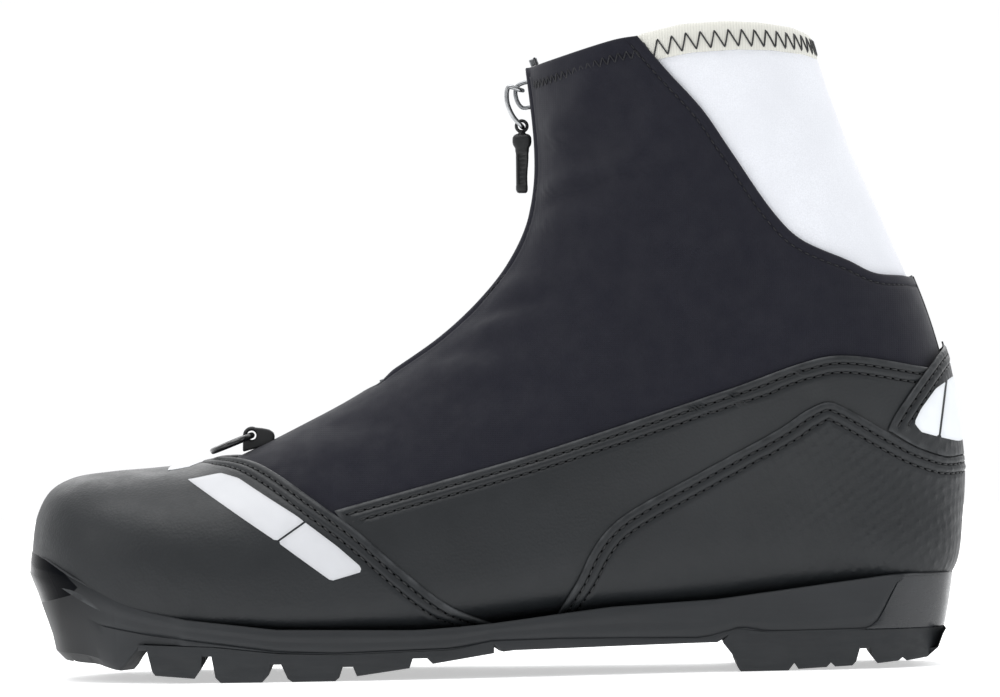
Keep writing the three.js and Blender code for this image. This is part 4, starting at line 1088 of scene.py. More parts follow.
LEATHER_ROWS = (2.5, 5.4)
ON_OVERLAY, ON_QUARTER, ON_COVER, ON_HEM = -0.98, 0.32, 1.52, 1.45
seams = [
    (toe_seams[0], False, ON_OVERLAY, LATERAL), (toe_seams[1], False, ON_OVERLAY, MEDIAL),
    (quarter_tops[0][:-1], True, ON_QUARTER, -LATERAL), (quarter_tops[1][:-1], True, ON_QUARTER, -MEDIAL),
    (overlay_top, True, ON_OVERLAY, 1), (patch_fronts[0], True, ON_OVERLAY, -1),
    (patch_fronts[1], True, ON_OVERLAY, -1)]
sew("upper_stitching",
    [(line, rear, depth, distance, left) for line, rear, depth, left in seams for distance in LEATHER_ROWS],
    MATS["thread"], 2.0, 0.95, 0.3)


def sew_cover(side, tag):
    """Stitches along the edge and the zip flap, and the tone-on-tone zigzag of the hem."""
    hem, edge, flap = cover_lines[side]
    parts = []
    for line, distance, left in ((edge, 3.4, side), (flap, 2.6, -side)):
        p, n = stitch_line(line, False, ON_COVER, distance, left)
        parts += thread_run(p + n * fold_height(p, side)[:, None], n, 1.7, 0.9, 0.21, 0.36)
    hem = spaced(hem, 1.0, False)
    parts += zigzag(inset(hem, 7.2, side, False), inset(hem, 4.4, side, False), False, ON_HEM, 2.7, 0.22)
    add(f"cover_stitching_{tag}", *joined(parts), MATS["thread_dark"])


for side, tag in SIDES:
    sew_cover(side, tag)


# ---------------------------------------------------------------- films
def film_patch(name, points_uv, node, material, slot, rear):
    panel(name, [(points_uv, "cut")], (-1.48, -1.28), material, node, slot, rear=rear, grid=(2.4, 2.6))


def clipped(points, a, b, way):
    """The part of a side-view outline on one side of the line from a to b."""
    (x0, z0), (x1, z1) = a, b
    length = math.hypot(x1 - x0, z1 - z0)
    nx, nz = -(z1 - z0) / length * way, (x1 - x0) / length * way
    out = []
    for (px, pz), (qx, qz) in zip(points, points[1:] + points[:1]):
        d, e = (px - x0) * nx + (pz - z0) * nz - 0.3, (qx - x0) * nx + (qz - z0) * nz - 0.3
        if d >= 0:
            out.append((px, pz))
        if d * e < 0:
            w = d / (d - e)
            out.append((px + (qx - px) * w, pz + (qz - pz) * w))
    return out


TOE_STRIPE = [
    (-96.9, 62.2), (-86.2, 64.2), (-80.5, 62.8), (-62.3, 51.7), (-49.7, 42.4), (-42.4, 36.1), (-42.3, 34.6),
    (-51.8, 32.0), (-68.5, 43.9)]
STRIPE_SPLIT = [(-59.6, 49.8), (-68.5, 43.9)]
REFLECTOR = [(144.6, 91.2), (138.4, 87.5), (133.6, 81.4), (131.3, 77.0), (133.5, 74.1), (138.9, 72.4),
             (142.2, 71.5)]
REFLECTOR_SPLIT = [(141.8, 89.5), (139.2, 72.3)]
for side, tag in SIDES:
    for way, part in ((-1, "front"), (1, "rear")):
        outline = clipped(TOE_STRIPE, *STRIPE_SPLIT, way)
        line = to_chart(resample(outline + outline[:1], 0.8), side, False)
        film_patch(f"toe_stripe_{tag}_{part}_film", line, f"toe_stripe_{tag}_{part}", MATS["film"],
                   "pale_film", False)
    outline = clipped(REFLECTOR, *REFLECTOR_SPLIT, -1)
    line = to_chart(resample(outline + outline[:1], 0.8), side, True)
    film_patch(f"reflector_{tag}_front_film", line, f"reflector_{tag}_front", MATS["reflect"],
               "reflective_film", True)


def reflector_lines(side):
    """Top, low and split edges of the rear reflector on one side of the heel."""
    corners = (((142.36, 89.9), (144.6, 91.2)), ((142.2, 71.5), (139.62, 72.2)),
               ((139.62, 72.2), (142.36, 89.9)))
    return [to_chart(resample(ends, 0.8), side, True) for ends in corners]


(top_l, low_l, split_l), (top_m, low_m, split_m) = reflector_lines(LATERAL), reflector_lines(MEDIAL)
outline = np.vstack([top_l, back_at(91.6), top_m[::-1], split_m[::-1][1:-1], low_m[::-1], back_at(71.8),
                     low_l,
                     split_l[1:-1], top_l[:1]])
film_patch("reflector_rear_film", outline, "reflector_rear", MATS["reflect"], "reflective_film", True)
mark_l, mark_m = (to_chart(np.array([(-103.6, 64.7), (-96.8, 65.7)]), side,
                           False) for side in (LATERAL, MEDIAL))
outline = np.vstack([mark_l, ridge_at(-91.8), mark_m[::-1], ridge_at(-102.6), mark_l[:1]])
film_patch("toe_mark_film", outline, "toe_mark", MATS["film"], "pale_film", False)


# ---------------------------------------------------------------- padded cuff, binding, liner, tongue, footbed
CUFF_TOP = np.array([(0, 184.8), (8, 187.2), (43.5, 198.2), (47.9, 200.6), (61.3, 203.6), (75.6, 204.4),
                     (86.7, 203.9),
                     (96.3, 202.5), (104, 199.6), (112, 196.5)])
CUFF_LOW = np.array([(0, 158), (20, 158), (60, 150), (92, 124), (120, 113), (175, 113)])


def level_line(angles, line, drop=0.0, low=0.55):
    """Section at which each angle of the upper reaches a side-view line."""
    a, b = np.full(len(angles), low), np.ones(len(angles))
    for _ in range(36):
        mid = (a + b) / 2
        p = upper(mid, angles, 4.0)
        above = p[:, 2] > np.interp(p[:, 0], line[:, 0], line[:, 1]) - drop
        a, b = np.where(above, a, mid), np.where(above, mid, b)
    return a


def climb(s, angles):
    """Millimetres of height per unit of section."""
    return np.linalg.norm(upper(s + 0.002, angles, 4.0) - upper(s - 0.002, angles, 4.0), axis=1) / 0.004


def settle(obj, voxel, most, pressure=4.0):
    """Swells a padded piece with a short cloth simulation, no point moving further than most (all in mm)."""
    scene = bpy.context.scene
    work = obj.copy()
    work.data = obj.data.copy()
    work.name = obj.name + "_work"
    work.parent = None
    scene.collection.objects.link(work)
    remesh = work.modifiers.new("remesh", "REMESH")
    remesh.mode = "VOXEL"
    remesh.voxel_size = voxel * MM
    depsgraph = bpy.context.evaluated_depsgraph_get()
    base = bpy.data.meshes.new_from_object(work.evaluated_get(depsgraph))
    work.modifiers.clear()
    work.data = base
    rest = np.zeros(len(base.vertices) * 3)
    base.vertices.foreach_get("co", rest)
    cloth = work.modifiers.new("cloth", "CLOTH")
    cloth.settings.use_pressure = True
    cloth.settings.uniform_pressure_force = pressure
    cloth.settings.effector_weights.gravity = 0
    cloth.settings.quality = 4
    cloth.settings.tension_stiffness = cloth.settings.compression_stiffness = 30
    cloth.collision_settings.use_collision = False
    cloth.point_cache.frame_start, cloth.point_cache.frame_end = 1, 20
    for frame_number in range(1, 21):
        scene.frame_set(frame_number)
    blown = bpy.data.meshes.new_from_object(work.evaluated_get(bpy.context.evaluated_depsgraph_get()))
    scene.frame_set(1)
    moved = np.zeros(len(blown.vertices) * 3)
    blown.vertices.foreach_get("co", moved)
    step = (moved - rest).reshape(-1, 3)
    far = np.linalg.norm(step, axis=1)
    step *= np.minimum(1, most * MM / np.maximum(far, 1e-9))[:, None]
    blown.vertices.foreach_set("co", (rest.reshape(-1, 3) + step).ravel())
    for m in obj.data.materials:
        if m.name not in blown.materials:
            blown.materials.append(m)
    obj.data = blown
    bpy.data.objects.remove(work)
    evened = obj.modifiers.new("even", "SMOOTH")
    evened.factor, evened.iterations = 0.5, 3
    rounded = obj.modifiers.new("round", "SUBSURF")
    rounded.levels = rounded.render_levels = 1
    finish_mesh(obj, 180)


CUFF_MIDDLE, CUFF_ROUND = 6.2, 3.1


def build_cuff():
    end = 0.47
    angles = np.concatenate([np.linspace(end, math.pi, 66), np.linspace(math.pi, 2 * math.pi - end, 66)[1:]])
    top, low = level_line(angles, CUFF_TOP), level_line(angles, CUFF_LOW)
    scale = climb(top, angles)
    shoulder = top - CUFF_ROUND / scale
    climb_up = np.linspace(0, 1, 30)
    rings = [upper(low + (shoulder - low) * w, angles, CUFF_MIDDLE - 3.05) for w in climb_up]
    for turn in np.linspace(0, math.pi, 11)[1:-1]:
        rings.append(upper(shoulder + CUFF_ROUND * math.sin(turn) / scale, angles,
                           CUFF_MIDDLE - 3.05 * math.cos(turn)))
    rings += [upper(low + (shoulder - low) * w, angles, CUFF_MIDDLE + 3.05) for w in climb_up[::-1]]
    rings += [upper(low - 1.6 / scale, angles, depth) for depth in (7.6, 4.8)]
    n, m = len(rings), len(angles)
    faces = grid_faces(n, m, close_rows=True, flip=True)
    faces.append([i * m for i in range(n)][::-1])
    faces.append([i * m + m - 1 for i in range(n)])
    obj = add("cuff_pad", np.vstack(rings), faces, MATS["cuff"], "cuff", slot="cuff_fabric", sharp=180)
    settle(obj, 2.2, 0.7)
    return angles, top, scale


def build_binding(angles, top, scale):
    """Folded band over the top of the cuff, and its zigzag thread."""
    deep, reach = 9.2, CUFF_ROUND + 0.62
    heights = np.linspace(-deep, -CUFF_ROUND, 8)
    rings = [upper(top - deep / scale, angles, CUFF_MIDDLE - CUFF_ROUND)]
    for h in heights:
        rings.append(upper(top + h / scale, angles, CUFF_MIDDLE - reach + 0.12 * (h == -deep)))
    for turn in np.linspace(0, math.pi, 13)[1:-1]:
        rings.append(upper(top - CUFF_ROUND / scale + reach * math.sin(turn) / scale, angles,
                           CUFF_MIDDLE - reach * math.cos(turn)))
    rings += [upper(top + h / scale, angles, CUFF_MIDDLE + reach) for h in heights[::-1]]
    rings.append(upper(top - deep / scale, angles, CUFF_MIDDLE + CUFF_ROUND))
    n, m = len(rings), len(angles)
    add("collar_binding_band", np.vstack(rings), grid_faces(n, m, flip=True), MATS["binding"],
        "collar_binding",
        slot="binding_fabric", sharp=60)
    shown = (angles > 0.9) & (angles < 2 * math.pi - 0.9)
    signed = np.where(angles > math.pi, angles - 2 * math.pi, angles)
    lines = []
    for drop in (8.3, 2.6):
        s = (top - drop / scale)[shown]
        v = v_of(s, signed[shown])
        side = np.sign(signed[shown])
        whole = np.where(side < 0, girth(s, LATERAL), girth(s, MEDIAL))
        lines.append(np.c_[s * U_SCALE, side * (whole - np.abs(v))])
    add("binding_zigzag", *joined(zigzag(lines[0], lines[1], True, 2.36, 4.5, 0.27)), MATS["thread"])


build_binding(*build_cuff())


LINER_COLUMNS = 64


def build_liner():
    s = np.linspace(0.03, 1.0, 70)
    angles = []
    for k in s:
        start = 0.04
        if k > 0.28:
            width = float(np.interp(k, [0.28, 0.36, 1.0], [1.0, 18.2, 18.2]))
            row = section(np.array([k]), 5.0)
            start = math.asin(min(0.95, (width / row[2][0]) ** (row[4][0] / 2)))
        angles.append(np.linspace(start, 2 * math.pi - start, LINER_COLUMNS))
    top = level_line(np.linspace(0.3, math.pi, 40), CUFF_TOP, 8.6)
    tops = np.interp(np.minimum(angles[-1], 2 * math.pi - angles[-1]), np.linspace(0.3, math.pi, 40), top)
    sheets = []
    for extra in (0.0, 1.3):
        for i, k in enumerate(s):
            local = 0.03 + (tops - 0.03) * (i / (len(s) - 1))
            p = upper(local, angles[i], 0.0)
            into = smooth((p[:, 2] - np.interp(p[:, 0], CUFF_LOW[:, 0], CUFF_LOW[:, 1]) + 12) / 11)
            sheets.append(upper(local, angles[i], 4.9 + extra + 5.1 * into))
    faces = slab_faces(len(s), LINER_COLUMNS)
    obj = add("liner_pad", np.vstack(sheets), faces, MATS["lining"], "liner", slot="lining", sharp=60)


build_liner()


def build_tongue():
    s = np.linspace(0.285, 0.868, 60)
    half, middle = 14.6, 16.0
    across = np.sin(np.linspace(-math.pi / 2, math.pi / 2, 25)) * half
    outer, inner = [], []
    for i, k in enumerate(s):
        ends = min(1.0, min(i, len(s) - 1 - i) / 3 + 0.15)
        taper = 0.78 + 0.22 * min(1.0, i / 16)
        for y in across:
            thick = 1.35 * math.sqrt(max(0.0, 1 - abs(y / half) ** 3.2)) * math.sqrt(ends) + 0.05
            channel = 0.3 * math.exp(-((abs(y) - 7.6) / 0.9) ** 2)
            for depth, out in ((middle - thick + channel * 0.5, outer), (middle + thick - channel, inner)):
                row = section(np.array([k]), depth)
                a = math.asin(min(1.0, (abs(y) * taper / row[2][0]) ** (row[4][0] / 2)))
                out.append(upper(np.array([k]), np.array([math.copysign(a, y)]), depth)[0])
    obj = add("tongue_pad", np.vstack([outer, inner]), slab_faces(len(s), len(across)), MATS["tongue"],
              "tongue",
              slot="lining", sharp=180)
    rounded = obj.modifiers.new("round", "SUBSURF")
    rounded.levels = rounded.render_levels = 1


build_tongue()


def build_footbed():
    s = np.linspace(0.035, 0.585, 70)
    edge = 0.86
    spread = np.linspace(-edge, edge, 31)
    top, low = [], []
    for i, k in enumerate(s):
        ends = min(1.0, min(i, len(s) - 1 - i) / 4)
        for w in spread:
            rim = 1 - abs(w / edge) ** 10
            thick = (3.2 + 0.5 * smooth((0.35 - k) / 0.2)) * math.sqrt(max(0.02, rim * ends))
            low.append(upper(np.array([k]), np.array([math.pi + w]), 7.3)[0])
            top.append(upper(np.array([k]), np.array([math.pi + w]), 7.3 + thick)[0])
    obj = add("footbed_pad", np.vstack([low, top]), slab_faces(len(s), len(spread)), MATS["footbed"],
              "footbed",
              slot="footbed_foam", sharp=70)


build_footbed()


# ---------------------------------------------------------------- sole
SOLE_MARGIN, TOE_EXTRA, HEEL_CUT = 2.2, 1.5, 1.8


def plan_loop(count=110):
    """Plan outline of the sole, its stations from toe to heel on the lateral side and back on the medial side."""
    t = (1 - np.cos(np.linspace(0, math.pi, count))) / 2
    xs = -145.62 + (144.9 + 145.62) * (0.55 * t + 0.45 * np.linspace(0, 1, count))
    level = 28 + 18 * smooth((-112 - xs) / 33) + 8 * smooth((xs - 20) / 90)
    sides = []
    for side in (LATERAL, MEDIAL):
        s, a = chart_of(xs, level, side)
        sides.append(np.c_[xs, upper(s, a)[:, 1]])
    loop = np.vstack([sides[0], sides[1][::-1]])
    for _ in range(3):
        loop = 0.25 * np.roll(loop, 1, axis=0) + 0.5 * loop + 0.25 * np.roll(loop, -1, axis=0)
    way = np.roll(loop, -1, axis=0) - np.roll(loop, 1, axis=0)
    way /= np.linalg.norm(way, axis=1)[:, None]
    normal = np.c_[way[:, 1], -way[:, 0]]
    return loop, normal


PLAN, PLAN_NORMAL = plan_loop()


def plan_margin(x, margin):
    return margin + TOE_EXTRA * smooth((-112 - x) / 28) - HEEL_CUT * smooth((x - 105) / 36)


def line_through(points):
    q = np.array(points, float)
    return lambda x: np.interp(x, q[:, 0], q[:, 1])


crease_z = line_through([
    (-150, 23.5), (-139, 23.0), (-133, 21.2), (-126.8, 18.4), (-110, 15.2), (-89.5, 12.5), (-68.8, 9.6),
    (-50.4, 8.7),
    (-15.1, 9.5), (-1.4, 11.8), (19.6, 12.0), (64.1, 11.1), (71, 12.6), (76.7, 14.2), (85.6, 12.5),
    (99.9, 12.2),
    (115.9, 12.8), (118.5, 14.0), (120.4, 16.0), (123.6, 22.0), (126.9, 28.3), (130, 28.5), (150, 28.5)])
bottom_z = line_through([
    (-150, 5.8), (-141.6, 5.8), (-135.7, 5.6), (-121.3, 3.8), (-119.9, 4.2), (-113.6, 11.3), (-113.2, 12.0),
    (-89.5, 11.0),
    (-68.8, 8.8), (-50.4, 8.2), (-15.1, 9.0), (-1.6, 10.6), (-1.0, 7.8), (4.9, 8.5), (70.4, 9.4),
    (74.4, 13.2),
    (85.6, 12.0), (115.9, 12.2), (141.6, 12.0), (150, 12.0)])
facet_z = line_through([(-150, 28.2), (-134, 27.7), (-130, 27.0)])
toe_back = line_through([(3.8, 14.0), (5.6, 13.0), (6.5, 9.9), (9.3, 7.8), (12.0, 7.6), (28.0, 2.3),
                         (33.6, 0.0), (41, 0.7)])
heel_back = line_through([(2.9, 9.1), (5.9, 5.5), (10.3, 3.8), (11.9, 2.9), (17.9, 1.7), (27.2, 0.2),
                          (30, 0.0)])
base_z = line_through([(-150, 33), (-145, 32), (-117, 17.5), (-66, 12.6), (0, 13.6), (80, 19.5), (140, 23.0)])


def sole_ring(offsets, heights):
    """Points round the sole, offset outward from its plan outline, drawn in at the toe and heel."""
    p = PLAN + PLAN_NORMAL * (plan_margin(PLAN[:, 0], SOLE_MARGIN) + offsets)[:, None]
    toe = smooth(-PLAN_NORMAL[:, 0] * 1.15) * (PLAN[:, 0] < -100)
    heel = smooth(PLAN_NORMAL[:, 0] * 1.15) * (PLAN[:, 0] > 100)
    draw = toe * toe_back(heights) + heel * heel_back(heights)
    p = p - PLAN_NORMAL * draw[:, None]
    return np.c_[p, heights]


def cap_faces(verts, first, count, flip, spans=9):
    """Closes a ring of vertices with strips that run across from the lateral to the medial side."""
    columns = []
    for j in range(count // 2):
        a, b = first + j, first + count - 1 - j
        between = [verts[a] + (verts[b] - verts[a]) * w for w in np.linspace(0, 1, spans + 1)[1:-1]]
        columns.append([a, *range(len(verts), len(verts) + spans - 1), b])
        verts = np.vstack([verts, between])
    faces = [[p[c], q[c], q[c + 1], p[c + 1]] for p, q in zip(columns, columns[1:]) for c in range(spans)]
    faces += [columns[0][::-1], columns[-1]]
    return verts, [f[::-1] for f in faces] if flip else faces


BAR_X, BAR_Z = -127.5, 9.2


def build_sole():
    x = PLAN[:, 0]
    edge_x = (PLAN + PLAN_NORMAL * plan_margin(x, SOLE_MARGIN)[:, None])[:, 0]
    lip = feather_z(edge_x)
    crease = crease_z(edge_x)
    low = bottom_z(edge_x)
    facet = facet_z(edge_x)
    groove = 0.55 * smooth((edge_x + 131) / 7) * (1 - smooth((edge_x - 124.5) / 4))
    step = 0.45 * smooth((edge_x - 68) / 6) * (1 - smooth((edge_x - 124) / 5))
    toe = 1 - smooth((edge_x + 138) / 8)
    mid = facet * toe + (lip * 0.45 + crease * 0.55) * (1 - toe)
    rings, walls = [], []

    def ring(offset, height, wall=True):
        rings.append(sole_ring(*(np.broadcast_to(v, x.shape).astype(float) for v in (offset, height))))
        walls.append(wall)

    inset_wall = 0.6 * step
    ring(-9.0, np.minimum(base_z(x), lip - 1.5), False)
    ring(-4.2, np.minimum(base_z(x) + 0.6, lip - 1.0), False)
    ring(-3.4, lip - 0.6, False)
    ring(-1.35, lip + 0.12, False)
    ring(-0.75, lip + 0.16, False)
    ring(-0.25, lip - 0.12)
    ring(-0.04 - inset_wall, lip - 0.7)
    for w in (0.27, 0.54, 0.77):
        bulge = 0.32 * math.sin(math.pi * w) * (1 - toe) * (1 - smooth((edge_x - 20) / 50))
        ring(bulge - inset_wall, (lip - 0.7) * (1 - w) + (mid + 0.3) * w)
    ring(0.02 - inset_wall, mid + 0.22)
    ring(-inset_wall, mid - 0.22)
    for w in (0.4, 0.8):
        ring(0.12 * (1 - toe) * (1 - w) - inset_wall, (mid - 0.22) * (1 - w) + (crease + 0.4) * w)
    ring(-groove * 0.5 - inset_wall, crease + 0.35)
    ring(-groove - 0.3 * step, crease)
    ring(-groove * 0.35, crease - 0.32)
    for w in (0.25, 0.55, 0.85):
        ring(-0.05 - 0.25 * (1 - w) * groove, np.minimum(crease - 0.34, crease * (1 - w) + (low + 0.9) * w))
    for offset, height in ((-0.12, 0.5), (-0.5, 0.14), (-1.1, 0.0), (-12.0, 0.0)):
        ring(offset, low + height)
    n, m = len(rings), len(x)
    verts = np.vstack(rings)
    faces, index = [], []
    centre = np.array(rings).reshape(n, m, 3)
    front_of = line_through([(12.8, 115.9), (14.0, 118.5), (16.0, 120.4), (22.0, 123.6), (28.3, 126.9),
                             (32, 128.0)])
    for i in range(n - 1):
        for j in range(m):
            k = (j + 1) % m
            faces.append([i * m + j, (i + 1) * m + j, (i + 1) * m + k, i * m + k])
            c = (centre[i, j] + centre[i + 1, k]) / 2
            gloss = walls[i] and c[0] < -120
            satin = walls[i] and c[0] > front_of(c[2]) + 0.4 and c[2] > 11.5
            index.append(1 if gloss else 2 if satin else 0)
    for first, flip in ((0, False), ((n - 1) * m, True)):
        verts, cap = cap_faces(verts, first, m, flip)
        faces += cap
        index += [0] * len(cap)
    obj = add("sole_body", verts, faces, [MATS["rubber"], MATS["gloss"], MATS["satin"]], "sole_chassis",
              slot="sole_shell",
              index=index, sharp=32)
    carve(obj, [block_mesh(-135, -117.5, -17.5, 17.5, -3, 15), rod_mesh(BAR_X, BAR_Z, 2.3, 27.3)])


def block_mesh(x0, x1, y0, y1, z0, z1):
    """Cutting block as a closed mesh, in mm."""
    corners = [(x, y, z) for z in (z0, z1) for y in (y0, y1) for x in (x0, x1)]
    return np.array(corners, float), [[0, 2, 3, 1], [4, 5, 7, 6], [0, 1, 5, 4], [2, 6, 7, 3], [0, 4, 6, 2],
                                      [1, 3, 7, 5]]


def rod_mesh(x, z, radius, half_length, chamfer=0.0, sides=40):
    ends = [(-half_length, radius), (half_length, radius)]
    if chamfer:
        short, small = half_length - chamfer, radius - chamfer
        ends = [(-half_length, small), (-short, radius), (short, radius), (half_length, small)]
    return tube([(x, y, z) for y, _ in ends], [r for _, r in ends], sides)


def carve(obj, cutters):
    """Cuts closed shapes out of a piece."""
    made = []
    for k, (verts, faces) in enumerate(cutters):
        mesh = bpy.data.meshes.new("cutter")
        mesh.from_pydata((np.asarray(verts) * MM).tolist(), [], faces)
        cutter = bpy.data.objects.new(f"cutter_{k}", mesh)
        bpy.context.scene.collection.objects.link(cutter)
        made.append(cutter)
        cut = obj.modifiers.new(f"cut_{k}", "BOOLEAN")
        cut.operation, cut.object, cut.solver = "DIFFERENCE", cutter, "EXACT"
    bpy.context.view_layer.update()
    result = bpy.data.meshes.new_from_object(obj.evaluated_get(bpy.context.evaluated_depsgraph_get()))
    obj.modifiers.clear()
    obj.data = result
    for cutter in made:
        bpy.data.objects.remove(cutter)
    finish_mesh(obj, 32)


def plan_y(x, side, margin):
    """Half width of the sole outline at x, by side."""
    heel = smooth(PLAN_NORMAL[:, 0] * 1.15) * (PLAN[:, 0] > 100)
    ring = PLAN + PLAN_NORMAL * (plan_margin(PLAN[:, 0], margin) - 3.0 * heel)[:, None]
    count = len(ring) // 2
    line = ring[:count] if side == LATERAL else ring[count:][::-1]
    order = np.argsort(line[:, 0])
    return np.interp(x, line[order, 0], line[order, 1])


FOREFOOT_LUGS = [
    (-113.2, 10.4), (-110.5, 10.4), (-108.9, 3.8), (-107.9, 2.4), (-95.5, 1.4), (-93.4, 4.3), (-93.0, 8.3),
    (-90.1, 8.3), (-88.9, 1.6), (-87.3, 0), (-74.2, 0), (-72.1, 2.3), (-71.4, 5.5), (-68.2, 5.5),
    (-66.2, 1.0),
    (-64.8, 0), (-51.3, 0), (-50.0, 1.1), (-49.0, 4.4), (-45.7, 4.4), (-44.5, 1.4), (-28.0, 3.6),
    (-26.9, 6.6),
    (-22.4, 6.6), (-20.7, 4.8), (-1.4, 7.7)]
HEEL_LUGS = [
    (70.8, 9.0), (74.3, 4.4), (75.2, 1.3), (76.0, 0), (91.2, 0), (93.0, 2.3), (94.3, 0.4), (103.2, 0.8),
    (104.6, 2.2), (105.9, 0.9), (111.3, 1.1), (112.6, 2.4), (113.8, 6.4), (117.2, 6.4), (118.0, 3.2),
    (119.3, 1.6),
    (126.0, 2.2), (127.4, 3.2), (128.7, 2.1), (135.4, 2.9), (139.0, 5.9), (140.7, 10.3), (141.6, 11.8)]


GUIDE = (12.5, 19.5)
GUIDE_ROOF = 5.6


def build_tread(name, node, lugs, top, margin=2.05):
    """Lugged tread as a height field: the lug profile along X, the guide grooves across Y."""
    lugs = np.array(lugs, float)
    profile = [lugs[0]]
    for a, b in zip(lugs, lugs[1:]):
        n = max(1, int(np.linalg.norm(b - a) / 2.6))
        profile += [a + (b - a) * k / n for k in range(1, n + 1)]
    x, z = np.array(profile).T
    tops = np.maximum(line_through(top)(x) - 0.05, z + 0.15)
    y0, y1 = plan_y(x, LATERAL, margin), plan_y(x, MEDIAL, margin)
    if x[-1] > 100:
        shrink = np.clip(1 - smooth((x - 133) / 10) * 0.1, 0, 1)
        y0, y1 = y0 * shrink, y1 * shrink
    inner, outer = GUIDE
    columns = []

    def column(ys, lift=0.0, deep=False):
        zz = np.maximum(z + lift, GUIDE_ROOF) if deep else z + lift
        columns.append(np.c_[x, np.broadcast_to(ys, x.shape), np.minimum(zz, tops - 0.1)])

    column(y0, 0.9)
    column(y0 + 0.3, 0.25)
    column(y0 + 1.0)
    column((y0 - outer) / 2)
    for y, lift, deep in ((outer + 0.5, 0, False), (outer, 0.5, False), (outer, 0, True), (inner, 0, True),
                          (inner, 0.5, False), (inner - 0.5, 0, False)):
        column(-y, lift, deep)
    column(0.0)
    for y, lift, deep in ((inner - 0.5, 0, False), (inner, 0.5, False), (inner, 0, True), (outer, 0, True),
                          (outer, 0.5, False), (outer + 0.5, 0, False)):
        column(y, lift, deep)
    column((y1 + outer) / 2)
    column(y1 - 1.0)
    column(y1 - 0.3, 0.25)
    column(y1, 0.9)
    columns += [np.c_[x, y1, tops], np.c_[x, y0, tops]]
    n, m = len(columns), len(x)
    faces = grid_faces(n, m, close_rows=True)
    faces.append([i * m for i in range(n)])
    faces.append([i * m + m - 1 for i in range(n)][::-1])
    obj = add(name, np.vstack(columns), faces, MATS["tread"], node, slot="tread_rubber", sharp=38)
    soften(obj, 0.42, 2, 32)


def soften(obj, width, segments=2, angle=30):
    """Rounds the sharp edges of a piece; width in mm."""
    bevel = obj.modifiers.new("round_edges", "BEVEL")
    bevel.width, bevel.segments = width * MM, segments
    bevel.limit_method, bevel.angle_limit = "ANGLE", math.radians(angle)
    bevel.use_clamp_overlap = True
    bevel.miter_outer = "MITER_ARC"


build_sole()
build_tread("forefoot_tread_lugs", "forefoot_tread", FOREFOOT_LUGS, [
    (-113.4, 12.2), (-89.5, 11.2), (-68.8, 8.9), (-50.4, 8.3), (-15.1, 9.1), (-1.4, 11.4)])
build_tread("heel_tread_lugs", "heel_tread", HEEL_LUGS, [
    (70, 9.4), (74.6, 13.6), (85.6, 12.2), (115.9, 12.4), (141.6, 12.2)])
add("toe_bar_pin", *rod_mesh(BAR_X, BAR_Z, 2.0, 27, 0.4, 32), MATS["steel"], "toe_bar", slot="bar_steel",
    sharp=40)


# ---------------------------------------------------------------- zip
ZIP_X, ZIP_Z, ZIP_R, ZIP_TOP, ZIP_BOTTOM = -59.6, 167.0, 75.7, 18.4, -70.5


def arc_point(degrees_, r, y):
    a = np.radians(degrees_)
    return np.stack(np.broadcast_arrays(ZIP_X + (ZIP_R + r) * np.cos(a), y, ZIP_Z + (ZIP_R + r) * np.sin(a)),
                    axis=-1)


def build_coil(side, tag):
    """Coil of the zip: one rounded hook for each turn, and the cord it is sewn over."""
    pitch = 1.3 / ZIP_R * 180 / math.pi
    parts = []
    count = int((ZIP_TOP - ZIP_BOTTOM) / pitch)
    for k in range(count):
        at_ = ZIP_BOTTOM + (k + 0.5 + (0.25 if side > 0 else -0.25)) * pitch
        turn = np.linspace(-0.5, 0.5, 9)
        r = np.array([2.35, 2.15, 2.2, 2.6, 3.05, 3.5, 3.9, 3.95, 3.75])
        y = side * np.array([2.2, 1.6, 0.95, 0.45, 0.3, 0.45, 0.95, 1.6, 2.2])
        parts.append(tube(arc_point(at_ + turn * pitch * 0.55, r, y), 0.33, 6))
    a = np.linspace(ZIP_BOTTOM, ZIP_TOP, 90)
    parts.append(tube(arc_point(a, 3.05, np.full(90, side * 1.75)), 0.45, 8))
    verts, faces = joined(parts)
    add(f"zip_teeth_{tag}", verts, faces, MATS["coil"], f"zip_coil_{tag}", slot="zip_coil")


def build_tape(side, tag):
    a = np.linspace(ZIP_BOTTOM + 3.5, ZIP_TOP + 2, 150)
    ys = np.array([2.6, 2.6, 2.9, 4.2, 4.5, 4.8, 6.0, 7.1, 7.4, 7.4, 7.1, 5.0, 2.9])
    rs = np.array([3.75, 3.45, 3.3, 3.3, 3.2, 3.3, 3.32, 3.35, 3.5, 3.8, 3.9, 3.9, 3.9])
    rings = [arc_point(a, r, np.full(len(a), side * y)) for y, r in zip(ys, rs)]
    n, m = len(rings), len(a)
    faces = grid_faces(n, m, close_rows=True, flip=side > 0)
    faces.append([i * m for i in range(n)][::-1 if side > 0 else 1])
    faces.append([i * m + m - 1 for i in range(n)][::1 if side > 0 else -1])
    add(f"zip_ribbon_{tag}", np.vstack(rings), faces, MATS["tape"], f"zip_tape_{tag}", slot="zip_tape")


for side, tag in SIDES:
    build_coil(side, tag)
    build_tape(side, tag)


